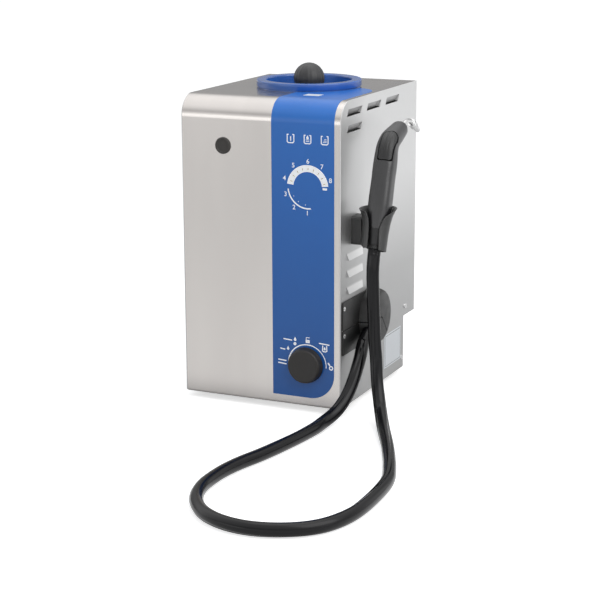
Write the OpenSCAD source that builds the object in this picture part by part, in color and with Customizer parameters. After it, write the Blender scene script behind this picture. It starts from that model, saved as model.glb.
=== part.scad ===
// Canister steam cleaner: sheet steel housing, water tank with a lift-off filling cap,
// boiler, control film with selector knob, hose inlet and a handpiece in its holder.
// Millimetres, +Z up, front towards -Y. The origin lies on the floor under the middle of the housing.

/* [Housing] */
// Width of the housing over its side sheets
body_w = 224; // [210:1:260]
// Depth of the housing over front and rear sheets
body_d = 264; // [255:1:300]
// Radius of the fold along the foot of the front
fold_r = 3.6; // [3:0.1:6]

// Height of the housing without its feet
body_h = 397; // [385:1:440]
// Thickness of the steel sheet
sheet_t = 1.2; // [0.8:0.1:2]
// Outer radius of the bend between front and top
bend_r = 28; // [15:1:36]
// Depth of the recess at the foot of the rear
notch_d = 41; // [30:1:50]
// Height of that recess above the underside
notch_h = 74; // [64:1:90]
// Width of the flanges inside the sheets
flange_w = 12; // [8:1:16]
// How far the side sheets end above the underside
side_lift = 1.5; // [1:0.1:3]
// Height of the blank rating plate
plate_h = 47; // [30:1:55]
// Length of the blank rating plate
plate_l = 60; // [40:1:62]

/* [Feet] */
// Radius of a rubber foot
foot_r = 11; // [8:0.5:14]
// Height of a foot, and so the gap under the housing
foot_h = 8; // [6:0.5:14]
// Distance of the foot centres from the side sheets
foot_in_x = 26; // [15:1:30]
// Distance of the foot centres from the front sheet
foot_in_y = 38; // [16:1:40]
// Radius of the shank of a foot screw
foot_screw_r = 2.5; // [2:0.1:3]

/* [Louvres] */
// Length of an upper louvre, pressed inwards
slot_l = 45; // [30:1:45]
// Height of an upper louvre
slot_h = 9; // [6:0.5:9.5]
// Distance from one upper louvre to the next
slot_pitch = 64.5; // [56:0.5:68]
// How far the ends of an upper louvre lean
slot_lean = 4.5; // [0:0.5:6]
// How deep an upper louvre is pressed in
slot_depth = 3; // [2:0.5:4]
// Length of a lower louvre, pressed outwards
hood_l = 53; // [40:1:56]
// Height of a lower louvre
hood_h = 10.5; // [8:0.5:12]
// Distance from one lower louvre to the next
hood_pitch = 22; // [18:0.5:24]
// How far a lower louvre stands out
hood_out = 2.6; // [1.6:0.1:2.6]

/* [Control film] */
// Width of the film
film_w = 86.5; // [80:0.5:92]
// Bare margin between film and right side
film_margin = 9; // [6:0.5:14]
// Height of the lower edge of the film over the underside
film_low = 12; // [8:0.5:16]
// Thickness of the film
film_t = 0.4; // [0.3:0.1:0.6]
// Radius of the rounded corners of the film
film_corner = 33; // [20:1:36]
// Radius of the black plug at the left of the front
plug_r = 10.8; // [8:0.1:13]
// Radius of the circle of lights around the dial
dial_r = 23.5; // [20:0.5:24]
// Depth of the dial centre under the top sheet
dial_drop = 108; // [100:1:116]

/* [Selector] */
// Radius of the selector knob at its foot
knob_r = 23.6; // [20:0.2:25]
// Radius of the selector knob at its face
knob_face_r = 21.6; // [18:0.2:22]
// Height of the selector knob
knob_h = 11; // [9:0.5:20]
// Height of the knob centre over the underside
knob_z = 56; // [52:1:62]
// Radius of the switch shaft
shaft_r = 3; // [2.5:0.1:3.5]

/* [Filler] */
// Outer radius of the blue filling ring
ring_r = 70; // [66:1:74]
// Inner radius of the filling ring
ring_in = 57; // [54:0.5:59]
// Height of the ring over the top sheet
ring_h = 10.4; // [8:0.2:14]
// Depth of the funnel floor under the top sheet
funnel_d = 18; // [14:1:20]
// Radius of the ball on the filling cap
ball_r = 20.5; // [16:0.5:22]
// Radius of the cap plate
cap_r = 38; // [34:1:44]
// Bore radius of the filling neck
neck_r = 25; // [22:0.5:28]

/* [Hose inlet] */
// Height of the inlet housing on the side sheet
inlet_h = 70; // [66:1:74]
// How far the inlet drum stands out from the side sheet
drum_out = 19; // [18:0.5:24]
// Radius of the drum at its face
drum_r = 33; // [30:0.5:34]
// Radius of the drum at its foot
drum_foot_r = 45; // [42:0.5:46]
// Thickness of the flat part of the inlet housing
inlet_t = 4; // [3:0.2:6]
// Outer radius of the hose
hose_r = 7.5; // [6:0.1:8]
// Outer radius of the sleeve where the hose comes out
gland_r = 9; // [8.5:0.1:9.2]

/* [Handpiece] */
// Radius of the grip
grip_r = 15.2; // [13:0.2:16]
// Radius of the head behind the nozzle
head_r = 11; // [9:0.2:13]
// Wall of the grip shells
grip_wall = 2.5; // [2:0.1:3]
// Length of the push button along the grip
button_l = 41; // [34:1:43]
// Width of the push button
button_w = 21; // [14:1:22]
// Travel of the push button
button_travel = 2.5; // [1:0.1:3]
// Radius of the nozzle tube
nozzle_r = 3.2; // [2.6:0.1:4]

/* [Holder] */
// Distance of the handpiece axis from the side sheet
holder_out = 38; // [36:1:44]
// Outer radius of the holder at its rim
holder_rim_r = 23.5; // [21:0.5:26]
// Outer radius of the holder at its foot
holder_foot_r = 14.5; // [13.5:0.1:16]
// Wall of the holder
holder_wall = 2.6; // [2:0.1:3]
// Height of the holder along its axis
holder_h = 54; // [45:1:60]
// Width of the slot in front of the holder at its foot
holder_slot = 17; // [16.5:0.5:20]

/* [Inside] */
// Outer radius of the boiler
boiler_r = 62; // [50:1:64]
// Height of the boiler
boiler_h = 130; // [100:1:135]
// Height of the underside of the boiler over the base pan
boiler_up = 51; // [48:1:56]
// Wall of the boiler
boiler_wall = 3; // [2:0.1:4]
// Thickness of the insulating jacket around the boiler
jacket_t = 9; // [5:0.5:12]
// Room over the boiler for its valves
valve_room = 49.8; // [49.2:0.1:60]
// Gap between the water tank and the funnel over it
tank_gap = 22; // [20:0.5:30]
// Wall of the water tank
tank_wall = 2.5; // [2:0.1:4]
// Radius of the water pump
pump_r = 22; // [18:0.5:24]
// Length of the water pump
pump_l = 70; // [50:1:75]
// Radius of the steam and water pipes
pipe_r = 4; // [3:0.1:5]

/* [Hidden] */

$fn = 64;
touch = 0.01;        // overlap that joins two shapes of one solid
press_gap = 0.05;    // radial clearance of pieces pushed into each other
run_gap = 0.05;      // radial clearance of a turning shaft
seat_gap = 0.3;      // clearance between pieces that move past each other
through = 1;         // how far a cutter runs past the faces it cuts

// Housing planes
xr = body_w / 2;
yf = -body_d / 2;
yb = body_d / 2;
z0 = foot_h;
zt = z0 + body_h;
xi = xr - sheet_t;
pan_z = z0 + sheet_t;
notch_y = yb - notch_d;
notch_z = z0 + notch_h;

// ---------------------------------------------------------------- helpers

// Extrudes a drawing in the YZ plane from x0 to x1
module along_x(x0, x1) {
    translate([x0, 0, 0]) rotate([90, 0, 90]) linear_extrude(x1 - x0) children();
}

// Extrudes a drawing in the XZ plane from y0 to y1
module along_y(y0, y1) {
    translate([0, y1, 0]) rotate([90, 0, 0]) linear_extrude(y1 - y0) children();
}

// Cylinder along +X, +Y or -Y from a point
module rod_x(p, r, l) { translate(p) rotate([0, 90, 0]) cylinder(r = r, h = l); }
module rod_y(p, r, l) { translate(p) rotate([-90, 0, 0]) cylinder(r = r, h = l); }
module rod_front(p, r, l) { translate(p) rotate([90, 0, 0]) cylinder(r = r, h = l); }

// Box from its low corner to its high corner
module box(a, b) { translate(a) cube(b - a); }

// Straight round bar between two points, with its own radius at each end
module bar(a, b, r1, r2) {
    d = b - a;
    l = norm(d);
    translate(a) rotate([0, acos(d.z / l), atan2(d.y, d.x)]) cylinder(r1 = r1, r2 = r2, h = l);
}

// Pipe through a list of points, with a ball-shaped elbow at each corner
elbow = 1.25;
module pipe(points, r) {
    for (i = [0 : len(points) - 2]) bar(points[i], points[i + 1], r, r);
    if (len(points) > 2) for (i = [1 : len(points) - 2]) translate(points[i]) sphere(r = elbow * r);
}

function unit(v) = v / norm(v);

// Round tube swept along a list of points, with a frame carried along the path
function path_tangents(p) = [for (i = [0 : len(p) - 1])
    unit(p[min(i + 1, len(p) - 1)] - p[max(i - 1, 0)])];
function path_normals(t, start) = [for (i = 0, n = unit(start - (start * t[0]) * t[0]); i < len(t);
    i = i + 1, n = i < len(t) ? unit(n - (n * t[i]) * t[i]) : n) n];
module tube(points, r, sides, start = [1, 0, 0]) {
    t = path_tangents(points);
    n = path_normals(t, start);
    rings = len(points);
    verts = [for (i = [0 : rings - 1], k = [0 : sides - 1])
        points[i] + r * (cos(360 * k / sides) * n[i] + sin(360 * k / sides) * cross(t[i], n[i]))];
    walls = [for (i = [0 : rings - 2], k = [0 : sides - 1], half = [0, 1])
        let (a = i * sides + k, b = i * sides + (k + 1) % sides)
        half == 0 ? [a, a + sides, b] : [b, a + sides, b + sides]];
    first = [for (k = [0 : sides - 1]) k];
    last = [for (k = [sides - 1 : -1 : 0]) (rings - 1) * sides + k];
    polyhedron(points = verts, faces = concat(walls, [first, last]));
}

// Smooth curve through a list of points, with steps samples to each stretch
function spline(p0, p1, p2, p3, u) = 0.5 * (2 * p1 + (p2 - p0) * u
    + (2 * p0 - 5 * p1 + 4 * p2 - p3) * u * u + (3 * p1 - p0 - 3 * p2 + p3) * u * u * u);
function curve(p, steps) = concat([for (i = [0 : len(p) - 2], s = [0 : steps - 1])
    spline(p[max(i - 1, 0)], p[i], p[i + 1], p[min(i + 2, len(p) - 1)], s / steps)], [p[len(p) - 1]]);

// ---------------------------------------------------------------- housing sheets

// Side outline of the housing, drawn in YZ, set back from front and top by inset
module outline(inset = 0, past = 0) {
    r = bend_r - inset;
    difference() {
        translate([yf + inset, z0 - past]) square([body_d - inset + past, body_h - inset + past]);
        translate([yf + inset - through, zt - inset - r]) square([r + through, r + through]);
        if (past == 0) fold_corner(inset);
    }
    translate([yf + bend_r, zt - bend_r]) circle(r = r);
}

// Corner between the fold along the foot of the front and the square it is drawn in
module fold_corner(inset = 0) {
    difference() {
        translate([yf + min(inset, 0), z0 + min(inset, 0)]) square(fold_r - min(inset, 0));
        translate([yf + fold_r, z0 + fold_r]) circle(r = fold_r - inset);
    }
}

// Rear outline of the housing, drawn in YZ, set back from the rear wall by inset
module rear_outline(inset = 0, past = 0) {
    translate([-past, notch_z + inset]) square([yb - inset + past, zt - sheet_t - notch_z - inset + past]);
    translate([-past, pan_z - past]) square([notch_y - inset + past, zt - sheet_t - pan_z + 2 * past]);
}

// Filler place on the top sheet
fill_x = 3;
fill_y = 15;
fill_wall = 3;
fill_hole_r = ring_in + fill_wall + 0.5;

// Control film and what sits behind it
film_x1 = xr - film_margin;
film_x0 = film_x1 - film_w;
film_back = 18;
dial_x = (film_x0 + film_x1) / 2 + 6;
dial_z = zt - dial_drop;
knob_x = dial_x - 1.5;
switch_hole_r = 5;
plug_x = -52;
plug_drop = 34.5;    // from the bend down to the plug
plug_z = zt - bend_r - plug_drop;
plug_hole_r = 9.8;

// Lights: an arc from the left over the top to the right, and three tank lights
led_r = 1.4;
arc_lights = 9;
arc_start = 168;
arc_end = -4;
lamp_pitch = 23.5;   // distance from one tank light to the next
lamp_row = 60;       // height of the tank lights over the dial centre
light_spots = concat(
    [for (i = [0 : arc_lights - 1]) let (a = arc_start + (arc_end - arc_start) * i / (arc_lights - 1))
        [dial_x + dial_r * cos(a), dial_z + dial_r * sin(a)]],
    [for (i = [-1 : 1]) [dial_x + lamp_pitch * i, dial_z + lamp_row]]);

module front_top_cover() {
    color("silver") difference() {
        along_x(-xi, xi) difference() {
            outline();
            difference() {
                outline(sheet_t, through);
                fold_corner(sheet_t);
            }
        }
        rod_y([plug_x, yf - through, plug_z], plug_hole_r, 3 * through);
        rod_y([knob_x, yf - through, z0 + knob_z], switch_hole_r, 3 * through);
        for (s = light_spots) rod_y([s.x, yf - through, s.y], led_r + 0.2, 3 * through);
        translate([fill_x, fill_y, zt - 2 * through - sheet_t]) cylinder(r = fill_hole_r, h = 4 * through);
    }
}

// Screws that hold the side sheets to the rear flange, as Y and Z
side_screws = [[notch_y + 5, notch_z + 13], [notch_y - 8, z0 + 16]];
screw_r = 1.7;
screw_hole_r = screw_r + 0.1;
screw_head_r = 3.2;
screw_head_h = 1.6;

// Louvre places on the side sheets, as Y and Z of the low front corner
slot_y = yf + 19.5;
slot_z = zt - 20;
slots = concat([for (i = [0 : 2]) [slot_y + i * slot_pitch, slot_z]], [[slot_y, slot_z - 20.5]]);
hood_y = yf + 18.5;
hood_z = z0 + 193.5;
hoods = [for (i = [0 : 2]) [hood_y, hood_z - i * hood_pitch]];
hood_taper = 3.5;
slit = 0.8;          // height of the open slit under a louvre blade

// Outline of an upper louvre in YZ, grown by g at its ends
module slot_shape(g = 0) {
    polygon([[-g, 0], [slot_l + g, 0], [slot_l + slot_lean + g, slot_h], [slot_lean - g, slot_h]]);
}

// Outline of a lower louvre in YZ, grown by g at its ends
module hood_shape(g = 0) {
    polygon([[hood_taper - g, 0], [hood_l - hood_taper + g, 0], [hood_l + g, hood_h], [-g, hood_h]]);
}

// Pocket behind one upper louvre: a blade that slopes inwards, closed at both ends
module slot_pocket() {
    blade = sheet_t;
    difference() {
        intersection() {
            along_x(xr - slot_depth - 2 * blade, xi + touch) translate([0, slit]) slot_shape(blade);
            along_y(-blade - through, slot_l + slot_lean + blade + through) polygon([
                [xi + touch, slit], [xr - slot_depth - 2 * blade, slit],
                [xi - blade, slot_h + blade], [xi + touch, slot_h + blade]]);
        }
        intersection() {
            along_x(xr - slot_depth - 2 * blade, xr + through) translate([0, -touch]) slot_shape();
            along_y(-blade - through, slot_l + slot_lean + blade + through) polygon([
                [xr + through, -through], [xr - slot_depth - blade, -through],
                [xr - slot_depth - blade, slit], [xi, slot_h], [xr + through, slot_h]]);
        }
    }
}

// Hood over one lower louvre: it stands out and is open below
module hood() {
    blade = 0.9;
    difference() {
        intersection() {
            along_x(xi, xr + hood_out) hood_shape();
            along_y(-through, hood_l + through) polygon([
                [xi, 0], [xr + hood_out, 0], [xr + hood_out, 0.6], [xr, hood_h], [xi, hood_h]]);
        }
        intersection() {
            along_x(xi - through, xr + hood_out) hood_shape(-blade);
            along_y(-through, hood_l + through) polygon([
                [xi - through, -through], [xr + hood_out - blade, -through],
                [xr + hood_out - blade, 0.6], [xi, hood_h - 2 * blade], [xi - through, hood_h - 2 * blade]]);
        }
    }
}

// Right-hand side sheet; the left one is its mirror image without the fixings of hose and holder
module side_sheet(cuts) {
    color("gainsboro") difference() {
        union() {
            along_x(xi, xr) difference() {
                outline();
                translate([yf - through, z0 - through]) square([body_d + 2 * through, through + side_lift]);
                translate([notch_y, z0 - through]) square([notch_d + through, notch_h + through]);
                for (s = slots) translate(s) slot_shape();
                for (h = hoods) translate(h) hood_shape();
                for (s = side_screws) translate(s) circle(r = screw_hole_r);
                for (c = cuts) translate([c.x, c.y]) circle(r = c.z);
            }
            for (s = slots) translate([0, s.x, s.y]) slot_pocket();
            for (h = hoods) translate([0, h.x, h.y]) hood();
        }
    }
}

module right_side_panel() {
    side_sheet(concat(
        [for (s = inlet_screws) [s.x, s.y, screw_hole_r]],
        [for (s = holder_fixings) [s.x, s.y, screw_hole_r]],
        [[drum_y, drum_z, steam_hole_r]]));
}

module left_side_panel() { mirror([1, 0, 0]) side_sheet([]); }

rear_slot_l = 120;
rear_slot_h = 4;
rear_slot_drop = 60;
module rear_panel() {
    color("silver") difference() {
        union() {
            along_x(-xi, xi) difference() {
                rear_outline();
                rear_outline(sheet_t, through);
            }
            for (s = [0, 1]) mirror([s, 0, 0]) along_x(xi - sheet_t, xi) difference() {
                rear_outline(sheet_t - touch);
                rear_outline(sheet_t + flange_w, through);
            }
        }
        for (s = [0, 1], p = side_screws) mirror([s, 0, 0])
            rod_x([xi - 2 * sheet_t, p.x, p.y], screw_hole_r, 3 * sheet_t);
        for (i = [0 : 4]) let (z = zt - rear_slot_drop - vent_pitch * i)
            box([-rear_slot_l / 2, yb - 3 * through, z], [rear_slot_l / 2, yb + through, z + rear_slot_h]);
        inlet_cut();
        rod_y([drain_x, notch_y - 3 * through, drain_z], drain_neck_r + 0.5, 5 * through);
    }
}

// Air slots in the floor, under the boards
vent_x = -75;
vent_y = yf + 22;
vent_w = 5;
vent_l = 30;
vent_pitch = 12;
foot_spots = [for (x = [-1, 1], y = [yf + foot_in_y, notch_y - foot_in_x]) [x * (xr - foot_in_x), y]];
// Step of the pan over the fold of the front, from its floor up to its front lip
module pan_joggle() {
    out = fold_r - sheet_t - seat_gap;
    y = yf + fold_r;
    difference() {
        translate([y - out, z0 + fold_r - out]) square(out);
        translate([y, z0 + fold_r]) circle(r = out - sheet_t);
        fold_corner(sheet_t + seat_gap);
    }
    polygon([[y, z0 + fold_r - out], [y + seat_gap, z0 + fold_r - out], [y + seat_gap, z0], [y + fold_r, z0],
        [y + fold_r, z0 + fold_r - out + sheet_t], [y, z0 + fold_r - out + sheet_t]]);
}

module base_pan() {
    side_end = notch_y - sheet_t - flange_w - seat_gap;
    color("silver") difference() {
        union() {
            box([-xi, yf + sheet_t, z0], [xi, notch_y, pan_z]);
            for (s = [0, 1]) mirror([s, 0, 0])
                box([xi - sheet_t, yf + sheet_t, z0], [xi, side_end, z0 + flange_w]);
            box([-xi, yf + sheet_t, z0], [xi, yf + 2 * sheet_t, z0 + flange_w]);
        }
        along_x(-xi - through, xi + through) translate([yf - through, z0 - through])
            square([fold_r + through + seat_gap, fold_r + through]);
        for (f = foot_spots) translate([f.x, f.y, z0 - through])
            cylinder(r = foot_screw_r + 0.1, h = 3 * through);
        for (i = [0 : 5]) box([vent_x + vent_pitch * i, vent_y, z0 - through],
            [vent_x + vent_w + vent_pitch * i, vent_y + vent_l, pan_z + through]);
    }
    color("silver") along_x(-xi, xi) pan_joggle();
}

// Shelf that carries the water tank
boiler_z = pan_z + boiler_up;
boiler_top = boiler_z + boiler_h;
shelf_z = boiler_top + valve_room;
shelf_rim = 4;       // how far the shelf reaches in front of the tank
shelf_y1 = yb - sheet_t - flange_w - seat_gap;
module tank_shelf() {
    color("silver") difference() {
        union() {
            box([-xi, tank_y0 - shelf_rim, shelf_z - sheet_t], [xi, shelf_y1, shelf_z]);
            for (s = [0, 1]) mirror([s, 0, 0])
                box([xi - sheet_t, tank_y0 - shelf_rim, shelf_z - flange_w], [xi, shelf_y1, shelf_z]);
        }
        translate([tank_out.x, tank_out.y, shelf_z - 2 * through]) cylinder(r = pipe_r + 4, h = 3 * through);
    }
}

module feet() {
    color("#333333") for (f = foot_spots) translate([f.x, f.y, 0]) difference() {
        rotate_extrude() polygon([[0, 0], [foot_r - 1, 0], [foot_r, 1], [foot_r - 1.5, foot_h], [0, foot_h]]);
        translate([0, 0, -through]) cylinder(r = foot_screw_r + 0.1, h = foot_h + 2 * through);
        translate([0, 0, -through]) cylinder(r = foot_screw_r + 2.6, h = foot_h / 2 + through);
    }
}

module foot_screws() {
    color("lightgrey") for (f = foot_spots) translate([f.x, f.y, foot_h / 2]) {
        cylinder(r = foot_screw_r, h = foot_h / 2 + sheet_t + 6);
        translate([0, 0, -2]) cylinder(r = foot_screw_r + 2.2, h = 2);
        translate([0, 0, foot_h / 2 + sheet_t]) cylinder(r = foot_screw_r + 2, h = 4, $fn = 6);
    }
}

// Pan-head screw whose head sits on the outer face of the right-hand sheet
module side_screw(p, grip) {
    rod_x([xr - grip, p.x, p.y], screw_r, grip + touch);
    rod_x([xr, p.x, p.y], screw_head_r, screw_head_h);
}

module panel_screws() {
    color("lightgrey") for (s = [0, 1], p = side_screws) mirror([s, 0, 0]) side_screw(p, 8);
}

module rating_plate() {
    py = notch_y - plate_l - 11.8;
    color("#cdd2d6") along_x(xr, xr + 0.5) translate([py, z0 + 15.5]) square([plate_l, plate_h]);
}

// ---------------------------------------------------------------- front

module control_film() {
    color("#3c6bb4") difference() {
        along_x(film_x0, film_x1) difference() {
            outline(-film_t);
            outline(0, through + film_t);
            translate([yf - through, z0 - through]) square([2 * through, through + film_low]);
            translate([film_back, zt - through]) square([body_d, 3 * through]);
        }
        // rounded corner at the foot of the front
        along_y(yf - through, yf + through) translate([film_x1 - film_corner, z0 + film_low]) difference() {
            translate([0, -through]) square([film_corner + through, film_corner + through]);
            translate([0, film_corner]) circle(r = film_corner);
        }
        // rounded corner at the rear end on the top
        translate([film_x1 - film_corner, film_back - film_corner, zt - through]) linear_extrude(3 * through)
            difference() {
                square([film_corner + through, film_corner + through]);
                circle(r = film_corner);
            }
        rod_y([knob_x, yf - through, z0 + knob_z], switch_hole_r, 2 * through);
        translate([fill_x, fill_y, zt - through]) cylinder(r = ring_r + seat_gap, h = 3 * through);
    }
}

module blind_plug() {
    color("#444444") {
        translate([plug_x, yf, plug_z]) rotate([90, 0, 0]) rotate_extrude() polygon([
            [0, 0], [plug_r, 0], [plug_r, 1.2], [plug_r - 1, 2.2], [plug_r - 2.4, 2.2],
            [plug_r - 3.2, 1.4], [0, 1.4]]);
        rod_y([plug_x, yf - touch, plug_z], plug_hole_r - press_gap, sheet_t + 5);
    }
}

knob_gap = 0.4;
knob_y = yf - film_t - knob_gap;
module selector_knob() {
    color("#3a3a3a") difference() {
        translate([knob_x, knob_y, z0 + knob_z]) rotate([90, 0, 0]) rotate_extrude() polygon([
            [0, 3.6], [shaft_r + 4, 3.6], [shaft_r + 4, 5], [15, 5], [15, 0], [knob_r, 0], [knob_r, 2],
            [knob_face_r + 0.8, knob_h - 1], [knob_face_r, knob_h - 0.3],
            [knob_face_r - 1.5, knob_h], [0, knob_h]]);
        rod_front([knob_x, knob_y + through, z0 + knob_z], shaft_r + press_gap, knob_h - 2 + through);
    }
}

shaft_back = 14;
module selector_shaft() {
    color("lightgrey") rod_front([knob_x, yf + shaft_back, z0 + knob_z], shaft_r,
        shaft_back + film_t + knob_gap + knob_h - 2.3);
}

module selector_switch() {
    half = 15;       // half the width of the switch body
    color("#e6e2d4") difference() {
        union() {
            box([knob_x - half, yf + sheet_t, z0 + knob_z - half],
                [knob_x + half, yf + sheet_t + 22, z0 + knob_z + half]);
            rod_front([knob_x, yf + sheet_t + touch, z0 + knob_z], switch_hole_r - 0.1,
                sheet_t + film_t + touch);
        }
        rod_y([knob_x, yf - 2 * through, z0 + knob_z], shaft_r + run_gap,
            shaft_back + 2 * through + seat_gap);
    }
}

board_gap = 11;
board_t = 1.6;
board_y = yf + sheet_t + board_gap;
display_z0 = dial_z - 44;
display_z1 = dial_z + 72;
module display_board() {
    color("darkgreen") {
        box([film_x0, board_y, display_z0], [film_x1, board_y + board_t, display_z1]);
        box([dial_x - 20, board_y + board_t - touch, display_z0 + 12],
            [dial_x + 20, board_y + board_t + 6, display_z0 + 22]);
    }
}

module indicator_leds() {
    color("gold") for (s = light_spots)
        rod_front([s.x, board_y, s.y], led_r, board_gap + sheet_t * 0.6);
}

control_x0 = -xi + 8;
control_x1 = control_x0 + 88;
control_z0 = z0 + 55;
control_z1 = z0 + 175;
module control_board() {
    color("darkgreen") {
        box([control_x0, board_y, control_z0], [control_x1, board_y + board_t, control_z1]);
        for (i = [0 : 2]) box([control_x0 + 10, board_y + board_t - touch, control_z0 + 14 + 34 * i],
            [control_x0 + 38, board_y + board_t + 16, control_z0 + 36 + 34 * i]);
        box([control_x0 + 50, board_y + board_t - touch, control_z0 + 20],
            [control_x0 + 80, board_y + board_t + 22, control_z0 + 60]);
    }
}

module board_spacers() {
    corner = 5;
    spots = concat(
        [for (x = [film_x0 + corner, film_x1 - corner], z = [display_z0 + corner, display_z1 - corner])
            [x, z]],
        [for (x = [control_x0 + corner, control_x1 - corner], z = [control_z0 + corner, control_z1 - corner])
            [x, z]]);
    color("lightgrey") for (s = spots) rod_y([s.x, yf + sheet_t, s.y], 3, board_gap);
}

// ---------------------------------------------------------------- filler and tank

funnel_z = zt - funnel_d;
neck_wall = 3;
neck_low = funnel_z - fill_wall - 18;
module fill_ring() {
    lip = 2;
    color("#2f62ad") translate([fill_x, fill_y, 0]) rotate_extrude($fn = 96) polygon([
        [ring_in, zt + ring_h - lip], [ring_in + lip, zt + ring_h], [ring_r - lip, zt + ring_h],
        [ring_r, zt + ring_h - lip], [ring_r, zt], [ring_in + fill_wall, zt],
        [ring_in + fill_wall, funnel_z - fill_wall], [neck_r + neck_wall, funnel_z - fill_wall],
        [neck_r + neck_wall, neck_low], [neck_r, neck_low], [neck_r, funnel_z], [ring_in, funnel_z]]);
}

tank_y0 = yf + 72;
tank_y1 = yb - 12;
tank_x = xi - 15;
tank_top = funnel_z - fill_wall - tank_gap;
tank_neck_in = neck_r + neck_wall + seat_gap;
tank_neck_top = funnel_z - fill_wall - 6;
tank_out = [70, tank_y0 + 30, shelf_z];
module neck_gasket() {
    color("#333333") translate([fill_x, fill_y, tank_neck_top]) difference() {
        cylinder(r = tank_neck_in + 6, h = funnel_z - fill_wall - tank_neck_top);
        translate([0, 0, -through]) cylinder(r = neck_r + neck_wall + press_gap, h = 20);
    }
}

module water_tank() {
    color("#e8ecef") difference() {
        union() {
            box([-tank_x, tank_y0, shelf_z], [tank_x, tank_y1, tank_top]);
            translate([fill_x, fill_y, tank_top - touch])
                cylinder(r = tank_neck_in + 3, h = tank_neck_top - tank_top + touch);
            translate([tank_out.x, tank_out.y, shelf_z - 8]) cylinder(r = pipe_r + 3, h = 8 + touch);
        }
        box([-tank_x + tank_wall, tank_y0 + tank_wall, shelf_z + tank_wall],
            [tank_x - tank_wall, tank_y1 - tank_wall, tank_top - tank_wall]);
        translate([fill_x, fill_y, tank_top - 2 * tank_wall]) cylinder(r = tank_neck_in, h = body_h);
        translate([tank_out.x, tank_out.y, shelf_z - 8 - through]) cylinder(r = pipe_r + press_gap, h = 20);
    }
}

seal_t = 2;
cap_t = 3;
cap_z = funnel_z + seal_t;
ball_z = zt + 11;
spindle_r = 4;
module cap_seal() {
    color("#333333") translate([fill_x, fill_y, funnel_z]) difference() {
        cylinder(r = neck_r + 8, h = seal_t);
        translate([0, 0, -through]) cylinder(r = neck_r - 2, h = seal_t + 2 * through);
    }
}

module cap_plate() {
    skirt_r = neck_r - 2.4;
    color("silver") translate([fill_x, fill_y, 0]) difference() {
        union() {
            translate([0, 0, cap_z]) cylinder(r = cap_r, h = cap_t);
            translate([0, 0, cap_z - 12]) cylinder(r = skirt_r, h = 12 + touch);
        }
        translate([0, 0, cap_z - 12 - through]) cylinder(r = skirt_r - 2, h = 12 + through);
        translate([0, 0, cap_z - through]) cylinder(r = spindle_r + press_gap, h = cap_t + 2 * through);
    }
}

module cap_spindle() {
    color("lightgrey") translate([fill_x, fill_y, 0]) {
        translate([0, 0, cap_z - 4]) cylinder(r = spindle_r, h = ball_z + 4 - cap_z);
        translate([0, 0, cap_z - 4]) cylinder(r = spindle_r + 3, h = 4, $fn = 6);
        translate([0, 0, cap_z + cap_t]) cylinder(r = spindle_r + 2.5, h = 2.4);
    }
}

module ball_knob() {
    color("#5f5f5f") translate([fill_x, fill_y, ball_z]) difference() {
        sphere(r = ball_r, $fn = 96);
        translate([0, 0, -ball_r - through]) cylinder(r = spindle_r + press_gap, h = ball_r + through + 0.2);
        translate([0, 0, -ball_r - 2]) cylinder(r = spindle_r + 4, h = 3);
    }
}

// ---------------------------------------------------------------- hose inlet

drum_y = yf + 92;
drum_z = z0 + 107;
inlet_y0 = yf + 3.5;
inlet_wall = 2;
inlet_screws = [[inlet_y0 + 4, drum_z + 26.5], [inlet_y0 + 4, drum_z - 9.5]];
inlet_head_r = 2.8;
inlet_head_h = 1.4;
inlet_seat = 1.2;     // flange left under the screw heads
seam = 0.3;
seam_turn = -52;      // direction of the seam on the rear of the drum
steam_hole_r = 6;

// Places of the hose route: X from the side sheet, Y from the front sheet, Z from the floor
hose_places = [
    [14, 42, 89], [16, 32, 83], [17, 23, 73], [17, 8, 56], [15, -6, 39], [12, -21, 26], [7, -36, 16],
    [1, -58, 9], [-1, -88, 7.5], [-8, -140, 7.5], [-18, -193, 7.5], [-29, -237, 7.5], [-34, -276, 7.5],
    [-31, -321, 7.5], [-18, -360, 7.5], [6, -391, 7.5], [38, -409, 7.5], [74, -413, 7.5],
    [110, -402, 7.5], [137, -379, 7.5], [152, -344, 7.5], [156, -298, 7.5], [151, -229, 7.5],
    [137, -178, 7.5], [111, -111, 7.5], [83, -52, 9], [65, -16, 18], [54, 0, 35], [48, 8, 53],
    [43, 15, 80], [41, 15, 103], [39, 14, 155], [38, 14, 190], [38, 16.7, 210.25],
    [38, 18.243, 215.005], [38, 19.788, 219.76]];
hose_route = [for (p = hose_places) [xr + p.x, yf + p.y, p.z]];
hose_steps = 2;
hose_sides = 12;
hose_start = hose_route[0];
hub = [xr + 13, drum_y, drum_z];
gland_dir = unit(hose_start - hub);
gland_l = 22;
core_r = 3.4;         // radius of the steam tube where it enters the hose
gland_foot = hose_start - gland_l * gland_dir;

// Outer form of the inlet housing, and its hollow
module inlet_form(inset = 0) {
    intersection() {
        union() {
            rod_cone(drum_foot_r - inset, drum_r - inset, drum_out - inset);
            if (inset == 0) along_x(xr, xr + inlet_t)
                translate([inlet_y0, drum_z - inlet_h / 2]) square([drum_y - inlet_y0, inlet_h]);
        }
        box([xr - through, yf, drum_z - inlet_h / 2 + inset],
            [xr + 2 * drum_out, yb, drum_z + inlet_h / 2 - inset]);
    }
}

module rod_cone(r1, r2, h) {
    translate([xr, drum_y, drum_z]) rotate([0, 90, 0]) cylinder(r1 = r1, r2 = r2, h = h, $fn = 96);
}

// Area above the seam, drawn in YZ: level from the front to the drum centre, then down to the rear
module above_seam() {
    far = 120;
    polygon([[drum_y - far, drum_z], [drum_y, drum_z],
        [drum_y + far * cos(seam_turn), drum_z + far * sin(seam_turn)],
        [drum_y + far, drum_z + far], [drum_y - far, drum_z + far]]);
}

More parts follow.
